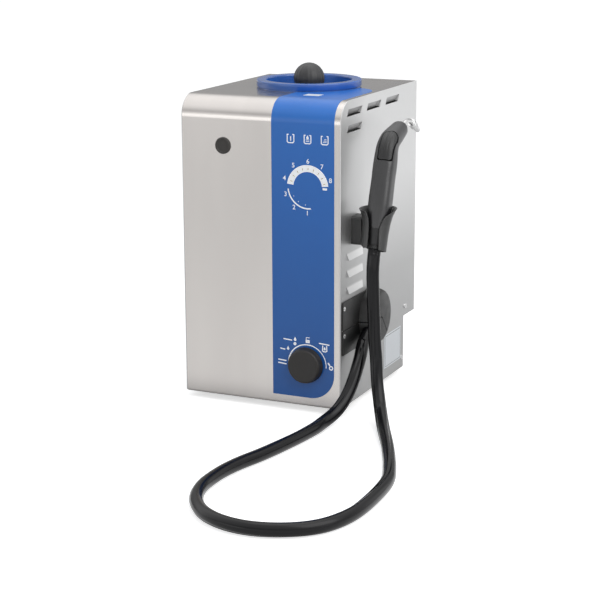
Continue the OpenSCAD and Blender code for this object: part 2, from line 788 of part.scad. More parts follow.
module inlet_shell() {
    difference() {
        inlet_form();
        inlet_form(inlet_wall);
        bar(gland_foot - 8 * gland_dir, hose_start + 12 * gland_dir,
            gland_r + press_gap, gland_r + press_gap);
        for (s = inlet_screws) {
            rod_x([xr - through, s.x, s.y], screw_hole_r, inlet_t + 2 * through);
            rod_x([xr + inlet_seat, s.x, s.y], inlet_head_r + seat_gap, inlet_t);
        }
    }
}

module hose_housing_upper() {
    color("#3c3c3c") intersection() {
        inlet_shell();
        along_x(xr - 2 * through, xr + 2 * drum_out) above_seam();
    }
}

module hose_housing_lower() {
    color("#333333") difference() {
        inlet_shell();
        along_x(xr - 2 * through, xr + 2 * drum_out) translate([0, -seam]) above_seam();
        along_x(xr - 2 * through, xr + 2 * drum_out) above_seam();
    }
}

module hose_housing_screws() {
    color("lightgrey") for (s = inlet_screws) {
        rod_x([xr - 8, s.x, s.y], screw_r, inlet_seat + 8 + touch);
        rod_x([xr + inlet_seat, s.x, s.y], inlet_head_r, inlet_head_h);
    }
}

module hose_gland() {
    color("#262626") difference() {
        bar(gland_foot, hose_start, gland_r, gland_r - 0.8);
        bar(gland_foot - through * gland_dir, hose_start - 3 * gland_dir,
            core_r + press_gap, core_r + press_gap);
    }
}

module steam_hose() { color("#2b2b30") tube(curve(hose_route, hose_steps), hose_r, hose_sides); }

// ---------------------------------------------------------------- handpiece, in its holder

// Handpiece frame: origin at the foot of the grip, its own Z along the lower grip
grip_lean = -18;
grip_x = xr + holder_out;
grip_y = yf + 21.5;
grip_z = z0 + 217;
module at_grip() { translate([grip_x, grip_y, grip_z]) rotate([grip_lean, 0, 0]) children(); }

// A pipe bend that starts at the origin along +Z and turns towards +Y, and the frame at its end
module bend(r_bend, turn, r) {
    translate([0, r_bend, 0]) rotate([90, 0, -90]) rotate_extrude(angle = turn)
        translate([r_bend, 0]) circle(r = r);
}
module after_bend(r_bend, turn) {
    translate([0, r_bend * (1 - cos(turn)), r_bend * sin(turn)]) rotate([-turn, 0, 0]) children();
}

// The grip is straight up to the neck, the neck bends back, and the head ends in a ball
grip_l = 99;
grip_foot_r = 10.5;
collar_top_r = 12.5;
collar_l = 20;
grip_mid_z = 50;
grip_full_z = 80;
grip_swell = 0.2;    // what the grip still grows by from its middle to its full radius
neck_bend_r = 60;
neck_turn = 55;
neck_r_out = grip_r - 2;
head_l = 9;
module at_neck() { translate([0, 0, grip_l]) children(); }
module at_head() { at_neck() after_bend(neck_bend_r, neck_turn) children(); }

module grip_form(inset = 0) {
    step = 0.15;      // the head overlaps the neck by a small step
    rotate_extrude() polygon([[0, 0], [grip_foot_r - inset, 0], [collar_top_r - inset, collar_l],
        [grip_r - grip_swell - inset, grip_mid_z], [grip_r - inset, grip_full_z],
        [neck_r_out - inset, grip_l], [0, grip_l]]);
    at_neck() bend(neck_bend_r, neck_turn, neck_r_out - inset);
    at_head() rotate_extrude() {
        polygon([[0, -1], [neck_r_out + step - inset, -1], [head_r - inset, head_l], [0, head_l]]);
        translate([0, head_l]) intersection() {
            circle(r = head_r - inset);
            square(2 * head_r);
        }
    }
}

// Push button frame: origin at the foot of the button on the front of the grip, its Y into the grip
button_tilt = -18;
button_foot = [0, -11, 106.5];
button_proud = 0.9;
button_room = 12;     // how deep the opening for the button runs into the grip
module at_button() { translate(button_foot) rotate([button_tilt, 0, 0]) children(); }

// Prism over the button outline, seen from the front: flat foot, round top
module button_prism(g = 0) {
    r = button_w / 2;
    at_button() translate([0, button_room, 0]) rotate([90, 0, 0]) linear_extrude(2 * button_room) {
        translate([-r - g, -g]) square([button_w + 2 * g, button_l - r + g]);
        translate([0, button_l - r]) circle(r = r + g);
    }
}

// Switch behind the button, and the stem that works it
stem_z = button_l / 2 - 4;
stem_r = 2;
stem_seat = 1.4;
switch_y = stem_seat + 6;
switch_half = 5;
spigot_l = 8;
module handpiece_body() {
    color("#474747") at_grip() {
        difference() {
            grip_form();
            grip_form(grip_wall);
            button_prism(0.6);
            translate([-2 * grip_r, -2 * grip_r, -through])
                cube([4 * grip_r, 4 * grip_r, through + collar_l + seam]);
            at_head() translate([0, 0, head_l]) cylinder(r = nozzle_r + press_gap, h = 2 * head_r);
        }
        // rib that carries the switch
        at_button() translate([-12, switch_y + 2, stem_z - 3]) cube([12 - switch_half, 4, 6]);
    }
}

module handpiece_collar() {
    spigot_r = collar_top_r - grip_wall - press_gap;
    color("#333333") at_grip() difference() {
        union() {
            cylinder(r1 = grip_foot_r, r2 = collar_top_r, h = collar_l);
            translate([0, 0, collar_l - touch]) cylinder(r = spigot_r, h = spigot_l);
        }
        translate([0, 0, -through])
            cylinder(r = hose_r + 1 + press_gap, h = collar_l + spigot_l + 2 * through);
    }
}

grommet_out = 5;
module handpiece_grommet() {
    color("#262626") at_grip() difference() {
        union() {
            translate([0, 0, -grommet_out])
                cylinder(r = hose_r + 1, h = collar_l + spigot_l + grommet_out + touch);
            translate([0, 0, collar_l + spigot_l]) cylinder(r = hose_r + 2, h = 3);
        }
        translate([0, 0, -grommet_out - through]) cylinder(r = pipe_r, h = 50);
    }
}

module trigger_button() {
    color("#3a3a3a") at_grip() {
        intersection() {
            difference() {
                grip_form(-button_proud);
                grip_form(grip_wall - 0.6);
            }
            button_prism();
        }
        at_button() {
            rod_y([0, -2.6, stem_z], 4.2, stem_seat + 2.6);
            rod_y([0, -2.6, stem_z], stem_r, stem_seat + 5.6);
        }
    }
}

module trigger_spring() {
    turns = 3;
    wire = 0.3;
    n = 14 * turns;
    run = switch_y - stem_seat - 2 * wire - 0.2;
    color("silver") at_grip() at_button()
        tube([for (i = [0 : n]) let (a = 360 * turns * i / n)
            [(stem_r + 1) * cos(a), stem_seat + wire + 0.1 + run * i / n, stem_z + (stem_r + 1) * sin(a)]],
            wire, 6, [0, 0, 1]);
}

module trigger_switch() {
    color("#222222") at_grip() at_button() difference() {
        box([-switch_half, switch_y, stem_z - 10], [switch_half, switch_y + 8, stem_z + 8]);
        rod_y([0, switch_y - through, stem_z], stem_r + run_gap, 3 + through);
    }
}

// Nozzle: a bent tube that leaves the head upwards and ends in a tip that points down
nozzle_start = head_l + 4;
nozzle_run = 18;
nozzle_bend_r = 30;
nozzle_turn = 45;
tube_end = 12;
tip_l = 24;
module at_nozzle() { at_head() translate([0, 0, nozzle_start + nozzle_run]) children(); }
module at_tip() { at_nozzle() after_bend(nozzle_bend_r, nozzle_turn) children(); }
module nozzle_tube() {
    color("lightgrey") at_grip() {
        overlap = 0.5;
        at_head() translate([0, 0, nozzle_start]) cylinder(r = nozzle_r, h = nozzle_run + overlap);
        at_nozzle() bend(nozzle_bend_r, nozzle_turn, nozzle_r - 0.1);
        at_tip() translate([0, 0, -overlap]) cylinder(r = nozzle_r, h = tube_end + overlap);
    }
}

module nozzle_collar() {
    color("lightgrey") at_grip() at_tip() difference() {
        cylinder(r = nozzle_r + 2, h = 4);
        translate([0, 0, -through]) cylinder(r = nozzle_r + press_gap, h = 4 + 2 * through);
    }
}

module nozzle_tip() {
    tip_z = 5;
    color("darkgrey") at_grip() at_tip() difference() {
        translate([0, 0, tip_z]) cylinder(r1 = nozzle_r + 1.6, r2 = nozzle_r, h = tip_l);
        translate([0, 0, tip_z - through])
            cylinder(r = nozzle_r + press_gap, h = tube_end - tip_z + through + touch);
        cylinder(r = 1.2, h = tip_z + tip_l + through);
    }
}

// Holder: a block on the side sheet and a flared cup with an open front
block_y0 = yf + 33;
block_y1 = block_y0 + 26;
block_z0 = z0 + 212;
block_z1 = z0 + 249;
block_x1 = xr + 14;
holder_fixings = [for (z = [block_z0 + 9, block_z1 - 9]) [(block_y0 + block_y1) / 2, z]];
module holder_block() {
    r = 4;
    color("#3a3a3a") difference() {
        along_x(xr, block_x1) {
            translate([block_y0 + r, block_z0]) square([block_y1 - block_y0 - 2 * r, block_z1 - block_z0]);
            translate([block_y0, block_z0 + r]) square([block_y1 - block_y0, block_z1 - block_z0 - 2 * r]);
            for (y = [block_y0 + r, block_y1 - r], z = [block_z0 + r, block_z1 - r])
                translate([y, z]) circle(r = r);
        }
        for (p = holder_fixings) rod_x([xr - through, p.x, p.y], screw_r + press_gap, 12);
    }
}

// Cup frame as the handpiece frame: it holds the foot of the grip, and flares towards its rim
cup_low = -7;
cup_rest = -seat_gap;
module holder_cradle() {
    rim = cup_low + holder_h;
    color("#3f3f3f") difference() {
        union() {
            at_grip() translate([0, 0, cup_low])
                cylinder(r1 = holder_foot_r, r2 = holder_rim_r, h = holder_h);
            box([block_x1, block_y0 + 1, block_z0 + 1], [grip_x - 9, block_y1 - 3, block_z1 - 3]);
        }
        at_grip() {
            rotate_extrude() polygon([[0, cup_rest], [grip_foot_r + seat_gap, cup_rest],
                [collar_top_r + 2 * seat_gap, collar_l], [holder_rim_r - holder_wall, rim],
                [holder_rim_r - holder_wall, rim + through], [0, rim + through]]);
            translate([0, 0, cup_low - through]) cylinder(r = hose_r + 1.6, h = 10);
            // open front, wider towards the rim
            translate([0, 0, cup_low - through]) rotate([90, 0, 0]) linear_extrude(60) polygon([
                [-holder_slot / 2, 0], [holder_slot / 2, 0], [holder_slot / 2, 16],
                [holder_slot / 2 + 6, holder_h + 2], [-holder_slot / 2 - 4, holder_h + 2],
                [-holder_slot / 2, 16]]);
        }
    }
}

module holder_screws() {
    color("lightgrey") for (p = holder_fixings) {
        rod_x([xi - touch, p.x, p.y], screw_r, 11);
        rod_x([xi - 2, p.x, p.y], screw_head_r, 2);
    }
}

// ---------------------------------------------------------------- boiler and pipes

boiler_x = -25;
boiler_y = 15;
fitting_r = 40;      // radius of the circle that the boiler fittings stand on
module boiler() {
    color("silver") translate([boiler_x, boiler_y, 0]) difference() {
        translate([0, 0, boiler_z]) cylinder(r = boiler_r, h = boiler_h);
        translate([0, 0, boiler_z + boiler_wall])
            cylinder(r = boiler_r - boiler_wall, h = boiler_h - 2 * boiler_wall);
        translate([0, 0, boiler_z - through]) cylinder(r = 12 + press_gap, h = boiler_wall + 2 * through);
        translate([0, 0, boiler_top - boiler_wall - through])
            cylinder(r = 3 + press_gap, h = boiler_wall + 2 * through);
    }
}

module boiler_jacket() {
    color("#d8d3c4") translate([boiler_x, boiler_y, boiler_z + 10]) difference() {
        cylinder(r = boiler_r + jacket_t, h = boiler_h - 20);
        translate([0, 0, -through]) cylinder(r = boiler_r + press_gap, h = boiler_h);
        translate([0, 0, feed_z - boiler_z - 10]) rotate([90, 0, 0])
            cylinder(r = pipe_r + 0.5, h = boiler_r * 2);
    }
}

module boiler_legs() {
    color("lightgrey") for (a = [45 : 90 : 315])
        translate([boiler_x + 50 * cos(a), boiler_y + 50 * sin(a), pan_z])
        cylinder(r = 5, h = boiler_up);
}

module heating_element() {
    loop_h = boiler_h * 0.55;
    color("darkgrey") translate([boiler_x, boiler_y, boiler_z]) {
        translate([0, 0, -8]) cylinder(r = 22, h = 8);
        translate([0, 0, -touch]) cylinder(r = 12, h = boiler_wall + 3);
        for (x = [-6, 6]) translate([x, 0, 0]) cylinder(r = 3, h = loop_h);
        bar([-6, 0, loop_h], [6, 0, loop_h], 3, 3);
        for (x = [-6, 6]) translate([x, 0, loop_h]) sphere(r = 3);
    }
}

module at_boiler_top(a) {
    translate([boiler_x + fitting_r * cos(a), boiler_y + fitting_r * sin(a), boiler_top]) children();
}

module safety_valve() {
    color("goldenrod") at_boiler_top(90) {
        cylinder(r = 9, h = 8, $fn = 6);
        translate([0, 0, 8 - touch]) cylinder(r = 7, h = 22);
        translate([0, 0, 30 - 2 * touch]) cylinder(r = 3, h = 6);
    }
}

module pressure_switch() {
    color("#c9c9c9") at_boiler_top(180) {
        cylinder(r = 6, h = 8);
        translate([0, 0, 8 - touch]) cylinder(r = 15, h = 20);
    }
}

module thermostat() {
    color("#e0d8c0") at_boiler_top(270) {
        cylinder(r = 8, h = 7);
        for (x = [-4, 4]) translate([x - 1, -3, 7 - touch]) cube([2, 6, 7]);
    }
}

module level_probe() {
    color("white") translate([boiler_x, boiler_y, 0]) {
        translate([0, 0, boiler_top - boiler_h * 0.4]) cylinder(r = 1.5, h = boiler_h * 0.4 + touch);
        translate([0, 0, boiler_top - boiler_wall - 1]) cylinder(r = 3, h = boiler_wall + 1 + touch);
        translate([0, 0, boiler_top]) cylinder(r = 7, h = 16);
    }
}

valve_x = boiler_x + fitting_r;
valve_mid_z = boiler_top + 13;
module solenoid_valve() {
    color("goldenrod") at_boiler_top(0) {
        cylinder(r = 6, h = 5);
        translate([-12, -12, 5 - touch]) cube([24, 24, 17]);
        translate([0, 0, 22 - 2 * touch]) cylinder(r = 11, h = 14);
    }
}

module steam_pipe() {
    side_x = xi - 18;
    color("peru") {
        pipe([[valve_x + 12, boiler_y, valve_mid_z], [side_x, boiler_y, valve_mid_z],
            [side_x, drum_y, valve_mid_z], [side_x, drum_y, drum_z], hub - [6, 0, 0]], pipe_r);
        rod_x(hub - [6, 0, 0], pipe_r + 1.5, 9);
        bar(hub, gland_foot + 12 * gland_dir, core_r, core_r);
    }
}

pump_x = xr - 50;
pump_y = yf + 42;
pump_z = pan_z + 4 + pump_r;
module water_pump() {
    color("#555a60") {
        rod_y([pump_x, pump_y, pump_z], pump_r, pump_l);
        rod_y([pump_x, pump_y - 10, pump_z], 7, 10 + touch);
        rod_y([pump_x, pump_y + pump_l - touch, pump_z], 7, 10);
    }
}

module pump_mounts() {
    color("#333333") for (y = [pump_y + 10, pump_y + pump_l - 20]) difference() {
        box([pump_x - 18, y, pan_z], [pump_x + 18, y + 10, pump_z - 4]);
        rod_y([pump_x, y - through, pump_z], pump_r + press_gap, 12);
    }
}

feed_z = boiler_z + 22;
module water_pipes() {
    back = pump_y + pump_l + 10;
    riser_y = boiler_y - boiler_r - jacket_t - 3 * pipe_r;
    color("#bcd3dc") {
        // tank to pump
        pipe([[tank_out.x, tank_out.y, shelf_z + 1], [tank_out.x, tank_out.y, pump_z + 40],
            [pump_x, back + 8, pump_z + 40], [pump_x, back + 8, pump_z], [pump_x, back, pump_z]], pipe_r);
        // pump to boiler
        pipe([[pump_x, pump_y - 10, pump_z], [pump_x, pump_y - 16, pump_z], [boiler_x, pump_y - 16, pump_z],
            [boiler_x, riser_y, pump_z], [boiler_x, riser_y, feed_z],
            [boiler_x, boiler_y - boiler_r, feed_z]], pipe_r);
    }
}

// ---------------------------------------------------------------- rear recess

socket_x = -62;
socket_z = z0 + 38;
module inlet_cut() {
    box([socket_x - 15, notch_y - 4 * through, socket_z - 11],
        [socket_x + 15, notch_y + 2 * through, socket_z + 11]);
}

module mains_inlet() {
    color("#222222") difference() {
        union() {
            box([socket_x - 24, notch_y, socket_z - 14], [socket_x + 24, notch_y + 3, socket_z + 14]);
            box([socket_x - 14.8, notch_y - 24, socket_z - 10.8],
                [socket_x + 14.8, notch_y + touch, socket_z + 10.8]);
        }
        difference() {
            box([socket_x - 12.5, notch_y - 15, socket_z - 8.5],
                [socket_x + 12.5, notch_y + 4, socket_z + 8.5]);
            for (x = [-7, 0, 7]) box([socket_x + x - 1, notch_y - 16, socket_z - 3 + (x == 0 ? 3 : 0)],
                [socket_x + x + 1, notch_y - 1, socket_z + 1 + (x == 0 ? 3 : 0)]);
        }
    }
}

drain_x = 50;
drain_z = z0 + 30;
drain_neck_r = 7;
drain_stem_r = 3;
drain_body_r = 9;
drain_stem_y = notch_y + 14;
module drain_valve() {
    color("goldenrod") difference() {
        union() {
            rod_y([drain_x, notch_y - 12, drain_z], drain_neck_r, 12 + touch);
            rod_y([drain_x, notch_y, drain_z], drain_body_r, 26);
            translate([drain_x, drain_stem_y, drain_z]) cylinder(r = 6, h = drain_body_r + 3);
            pipe([[boiler_x + 40, boiler_y, boiler_z], [boiler_x + 40, boiler_y, drain_z],
                [drain_x, boiler_y, drain_z], [drain_x, notch_y - 11, drain_z]], pipe_r);
        }
        rod_y([drain_x, notch_y + 20, drain_z], 4, 10);
        translate([drain_x, drain_stem_y, drain_z]) cylinder(r = drain_stem_r + run_gap, h = 30);
    }
}

lever_z = drain_z + drain_body_r + 3 + seat_gap;
module drain_lever() {
    color("firebrick") {
        translate([drain_x, drain_stem_y, drain_z + 0.5]) cylinder(r = drain_stem_r, h = lever_z - drain_z);
        translate([drain_x, drain_stem_y, lever_z]) cylinder(r = 7, h = 3);
        box([drain_x, drain_stem_y - 4, lever_z], [drain_x + 22, drain_stem_y + 4, lever_z + 3]);
    }
}

front_top_cover();
right_side_panel();
left_side_panel();
rear_panel();
base_pan();
tank_shelf();
feet();
foot_screws();
panel_screws();
rating_plate();
control_film();
blind_plug();
selector_knob();
selector_shaft();
selector_switch();
display_board();
indicator_leds();
control_board();
board_spacers();
fill_ring();
neck_gasket();
ball_knob();
cap_spindle();
cap_plate();
cap_seal();
water_tank();
hose_housing_upper();
hose_housing_lower();
hose_housing_screws();
hose_gland();
steam_hose();
holder_block();
holder_cradle();
holder_screws();
handpiece_body();
handpiece_collar();
handpiece_grommet();
trigger_button();
trigger_spring();
trigger_switch();
nozzle_tube();
nozzle_collar();
nozzle_tip();
boiler();
boiler_jacket();
boiler_legs();
heating_element();
safety_valve();
pressure_switch();
thermostat();
level_probe();
solenoid_valve();
steam_pipe();
water_pump();
pump_mounts();
water_pipes();
mains_inlet();
drain_valve();
drain_lever();
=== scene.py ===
"""Looks of the steam cleaner: studio, hose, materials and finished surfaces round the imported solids.

Metres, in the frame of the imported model: +X right, +Y back, +Z up, the front faces -Y.
"""

import math

import bmesh
import bpy
from mathutils import Matrix, Vector


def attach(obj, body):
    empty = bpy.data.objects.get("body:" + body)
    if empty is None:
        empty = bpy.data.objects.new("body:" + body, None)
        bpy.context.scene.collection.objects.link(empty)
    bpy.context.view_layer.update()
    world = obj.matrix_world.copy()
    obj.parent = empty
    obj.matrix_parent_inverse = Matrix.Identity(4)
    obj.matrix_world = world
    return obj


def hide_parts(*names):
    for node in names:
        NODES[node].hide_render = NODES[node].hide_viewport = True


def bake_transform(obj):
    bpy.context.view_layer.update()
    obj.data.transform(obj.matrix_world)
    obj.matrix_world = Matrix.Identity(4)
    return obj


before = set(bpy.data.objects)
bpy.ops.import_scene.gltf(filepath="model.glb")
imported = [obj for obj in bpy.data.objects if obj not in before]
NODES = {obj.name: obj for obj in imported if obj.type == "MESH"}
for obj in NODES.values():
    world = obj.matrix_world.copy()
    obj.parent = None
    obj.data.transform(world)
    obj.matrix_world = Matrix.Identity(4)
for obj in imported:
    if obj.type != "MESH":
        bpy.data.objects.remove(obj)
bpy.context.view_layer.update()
MM = 0.001

# Planes and places of the housing that the drawn pieces share with the solids, in millimetres
FRONT_Y = -132.0
TOP_Z = 405.0
SIDE_X = 112.0
FILM_T = 0.4


# ------------------------------------------------------------------ small helpers


def mm(x, y, z):
    return Vector((x, y, z)) * MM


def mix(a, b, t):
    return a + (b - a) * t


def between(table, value):
    """Reads a table of (place, size) pairs, with straight lines between its rows."""
    if value <= table[0][0]:
        return table[0][1]
    for (x0, y0), (x1, y1) in zip(table, table[1:]):
        if value <= x1:
            return mix(y0, y1, (value - x0) / (x1 - x0))
    return table[-1][1]


def piece(name, bm, material, body, replaced=(), soft=True):
    """Turns a bmesh into a shown piece that rides on a body."""
    bmesh.ops.remove_doubles(bm, verts=bm.verts, dist=1e-7)
    bmesh.ops.recalc_face_normals(bm, faces=bm.faces)
    mesh = bpy.data.meshes.new(name)
    bm.to_mesh(mesh)
    bm.free()
    obj = bpy.data.objects.new(name, mesh)
    bpy.context.scene.collection.objects.link(obj)
    mesh.materials.append(material)
    mesh.shade_smooth() if soft else mesh.shade_flat()
    if body:
        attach(obj, body)
    if replaced:
        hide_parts(*replaced)
    return obj


def sharpen(obj, degrees=32):
    """Smooth shading that keeps edges sharper than this angle."""
    obj.data.set_sharp_from_angle(angle=math.radians(degrees))


def bevel(obj, width_mm, segments=3, degrees=30):
    """Rounds the sharp edges of a piece without changing its own mesh."""
    mod = obj.modifiers.new("edges", "BEVEL")
    mod.width = width_mm * MM
    mod.segments = segments
    mod.limit_method = "ANGLE"
    mod.angle_limit = math.radians(degrees)
    mod.use_clamp_overlap = True
    mod.harden_normals = True


def rings_mesh(rings):
    """Closed skin over rings of points, with a flat end at either side; each ring is a list of vectors."""
    bm = bmesh.new()
    rows = [[bm.verts.new(p) for p in ring] for ring in rings]
    count = len(rows[0])
    for low, high in zip(rows, rows[1:]):
        for k in range(count):
            n = (k + 1) % count
            bm.faces.new((low[k], low[n], high[n], high[k]))
    bm.faces.new(reversed(rows[0]))
    bm.faces.new(rows[-1])
    return bm


def lathe(profile, place, sides=96, waves=0, wave=0.0):
    """Turned piece: (radius, height) pairs in millimetres round the Z axis of the placed frame."""
    rings = []
    for r, h in profile:
        ring = []
        for k in range(sides):
            a = 2 * math.pi * k / sides
            rr = r * (1 + wave * math.cos(waves * a))
            ring.append(place @ mm(rr * math.cos(a), rr * math.sin(a), h))
        rings.append(ring)
    return rings_mesh(rings)


def at(x, y, z, degrees=0, axis="X"):
    """Frame at a place in millimetres, turned about one axis."""
    return Matrix.Translation(mm(x, y, z)) @ Matrix.Rotation(math.radians(degrees), 4, axis)


def prism(bm, outline, place, low, high):
    """Adds a flat outline of (x, y) pairs to bm, from low to high along Z of the placed frame."""
    floor = [bm.verts.new(place @ mm(x, y, low)) for x, y in outline]
    roof = [bm.verts.new(place @ mm(x, y, high)) for x, y in outline]
    bm.faces.new(reversed(floor))
    bm.faces.new(roof)
    for k in range(len(outline)):
        n = (k + 1) % len(outline)
        bm.faces.new((floor[k], floor[n], roof[n], roof[k]))


def combined(bm, other, operation):
    """The result of a boolean between two closed meshes, as a new bmesh."""
    objects = []
    for part in (bm, other):
        bmesh.ops.recalc_face_normals(part, faces=part.faces)
        mesh = bpy.data.meshes.new("work")
        part.to_mesh(mesh)
        part.free()
        obj = bpy.data.objects.new("work", mesh)
        bpy.context.scene.collection.objects.link(obj)
        objects.append(obj)
    mod = objects[0].modifiers.new("cut", "BOOLEAN")
    mod.operation = operation
    mod.object = objects[1]
    mod.solver = "EXACT"
    graph = bpy.context.evaluated_depsgraph_get()
    result = bmesh.new()
    result.from_mesh(objects[0].evaluated_get(graph).to_mesh())
    for obj in objects:
        bpy.data.objects.remove(obj)
    return result


def arc_profile(cx, cz, r, start, end, steps=6):
    """Points of an arc in a (radius, height) profile, angles in degrees."""
    return [
        (cx + r * math.cos(math.radians(mix(start, end, i / steps))),
         cz + r * math.sin(math.radians(mix(start, end, i / steps))))
        for i in range(steps + 1)
    ]


# ------------------------------------------------------------------ camera, light and stage

CAMERA_PLACE = (0.9222, -2.0286, 0.6654)
CAMERA_AZIMUTH = math.radians(24.562)
CAMERA_ELEVATION = math.radians(13.899)
CAMERA_ROLL = math.radians(-0.238)
CAMERA_LENS = 100.56
CAMERA_SENSOR = 36
CAMERA_REACH = 60


def make_camera():
    a, e, roll = CAMERA_AZIMUTH, CAMERA_ELEVATION, CAMERA_ROLL
    back = Vector((math.sin(a) * math.cos(e), -math.cos(a) * math.cos(e), math.sin(e)))
    right = Vector((math.cos(a), math.sin(a), 0))
    up = back.cross(right)
    turned_right = math.cos(roll) * right + math.sin(roll) * up
    turned_up = math.cos(roll) * up - math.sin(roll) * right
    data = bpy.data.cameras.new("camera")
    data.lens = CAMERA_LENS
    data.sensor_width = CAMERA_SENSOR
    data.clip_end = CAMERA_REACH
    camera = bpy.data.objects.new("camera", data)
    turn = Matrix((turned_right, turned_up, back)).transposed().to_4x4()
    camera.matrix_world = Matrix.Translation(CAMERA_PLACE) @ turn
    bpy.context.scene.collection.objects.link(camera)
    bpy.context.scene.camera = camera


# Each lamp: name, place, the point that it faces, its two sides in metres, watts
LAMPS = [
    ("key_right", (0.95, -0.40, 1.05), (0.1, 0.0, 0.36), (1.1, 1.1), 9),
    ("front_left", (-1.6, -2.6, 0.5), (0.0, -0.1, 0.25), (1.8, 0.6), 3.3),
    ("overhead", (0.0, 0.3, 2.6), (0.0, 0.0, 0.2), (1.6, 1.6), 10),
]


def make_lamp(name, place, target, size, power):
    data = bpy.data.lights.new(name, "AREA")
    data.shape = "RECTANGLE"
    data.size, data.size_y = size
    data.energy = power
    obj = bpy.data.objects.new(name, data)
    obj.location = place
    obj.rotation_euler = (Vector(target) - Vector(place)).to_track_quat("-Z", "Y").to_euler()
    bpy.context.scene.collection.objects.link(obj)


def math_node(tree, operation, first, second):
    """Result of a math node; each input is the output of another node or a number."""
    node = tree.nodes.new("ShaderNodeMath")
    node.operation = operation
    for socket, value in zip(node.inputs, (first, second)):
        if isinstance(value, bpy.types.NodeSocket):
            tree.links.new(value, socket)
        else:
            socket.default_value = value
    return node.outputs[0]


def ranged(tree, value, low, high, start=0.0, end=1.0, curve="SMOOTHSTEP"):
    """A value that passes from low at start to high at end."""
    node = tree.nodes.new("ShaderNodeMapRange")
    node.interpolation_type = curve
    for name, number in (("From Min", start), ("From Max", end), ("To Min", low), ("To Max", high)):
        node.inputs[name].default_value = number
    tree.links.new(value, node.inputs["Value"])
    return node.outputs[0]


def parted(tree, output):
    """X, Y and Z of one kind of coordinates."""
    coords = tree.nodes.new("ShaderNodeTexCoord")
    split = tree.nodes.new("ShaderNodeSeparateXYZ")
    tree.links.new(coords.outputs[output], split.inputs[0])
    return split.outputs


def bright_background(tree):
    """1 for the rays that should see the white background: camera, glossy and transmission rays."""
    path = tree.nodes.new("ShaderNodeLightPath").outputs
    first = math_node(tree, "MAXIMUM", path["Is Camera Ray"], path["Is Glossy Ray"])
    return math_node(tree, "MAXIMUM", first, path["Is Transmission Ray"])


WORLD_FILL = 0.5
WORLD_FILL_COLOUR = (0.97, 0.985, 1.0, 1)
WHITE = (1, 1, 1, 1)
# What shiny pieces see of the studio, by the angle from the back (0) over the zenith (90) to the front (180)
STUDIO_ARCH = [
    (0, 0.44), (9, 0.50), (14, 0.59), (24, 0.67), (34, 1.10), (46, 1.85), (60, 2.35), (78, 2.45), (105, 2.38),
    (125, 2.25), (137, 2.0), (147, 1.55), (153, 1.15), (158, 1.1), (164, 1.7), (172, 2.1), (180, 1.9)]
STUDIO_GREY = (0.8, 0.8, 0.8, 1)
STUDIO_PEAK = 2.5          # a colour ramp holds nothing above 1, so its levels are shares of this one
CARD_LEVEL = 1.3           # white card that the louvre blades on the right mirror
CARD_EDGE = (0.1, 0.3)     # where it starts and where it is full, as the X of a direction


def make_world():
    """Even fill for diffuse light, the studio arch and the card in reflections, and white for the camera."""
    world = bpy.data.worlds.new("studio")
    bpy.context.scene.world = world
    world.use_nodes = True
    tree = world.node_tree
    tree.nodes.clear()

    def background(colour, strength):
        node = tree.nodes.new("ShaderNodeBackground")
        node.inputs["Color"].default_value = colour
        node.inputs["Strength"].default_value = strength
        return node

    def mixed(factor, first, second):
        node = tree.nodes.new("ShaderNodeMixShader")
        for socket, output in zip(node.inputs, (factor, first, second)):
            tree.links.new(output, socket)
        return node.outputs[0]

    way = parted(tree, "Generated")
    angle = math_node(tree, "ARCTAN2", way["Z"], way["Y"])
    curve = tree.nodes.new("ShaderNodeValToRGB")
    stops = curve.color_ramp.elements
    for k, (degrees, level) in enumerate(STUDIO_ARCH):
        stop = stops.new(degrees / 180) if k else stops[0]
        stop.position = degrees / 180
        stop.color = (level / STUDIO_PEAK,) * 3 + (1,)
    tree.links.new(ranged(tree, angle, 0, 1, 0, math.pi, "LINEAR"), curve.inputs[0])
    arch = math_node(tree, "MULTIPLY", curve.outputs["Color"], STUDIO_PEAK)
    card = ranged(tree, way["X"], 0, CARD_LEVEL, *CARD_EDGE)
    mirrored = background(STUDIO_GREY, 1)
    tree.links.new(math_node(tree, "MAXIMUM", arch, card), mirrored.inputs["Strength"])
    fill = background(WORLD_FILL_COLOUR, WORLD_FILL)
    light = mixed(bright_background(tree), fill.outputs[0], mirrored.outputs[0])
    path = tree.nodes.new("ShaderNodeLightPath").outputs
    shown = mixed(path["Is Camera Ray"], light, background(WHITE, 1).outputs[0])
    tree.links.new(shown, tree.nodes.new("ShaderNodeOutputWorld").inputs[0])


FLOOR_SIZE = 12.0
FLOOR_CELLS = 8
FLOOR_SEEN = 0.84                 # colour for the rays that see the background, and for all others
FLOOR_BOUNCE = 0.45
FLOOR_TONE = (0.99, 1.0)          # faint changes of tone
FLOOR_TONE_SCALE = 3
FLOOR_ROUGH = 0.9
FLOOR_SPECULAR = 0.1
FLOOR_GLOW = 0.62                 # glow for the camera, and in reflections far behind the object
FLOOR_DARK = 0.0                  # glow seen in reflections just behind the object
FLOOR_FADE = (0.05, 1.3)          # metres behind the object where that glow has come back
FLOOR_FRONT = 0.72                # glow that the front mirrors
FLOOR_FRONT_FADE = (-0.24, -0.12)
FLOOR_FAR = 1.0                   # glow that the front bend mirrors, far in front
FLOOR_FAR_FADE = (-4.2, -2.0)


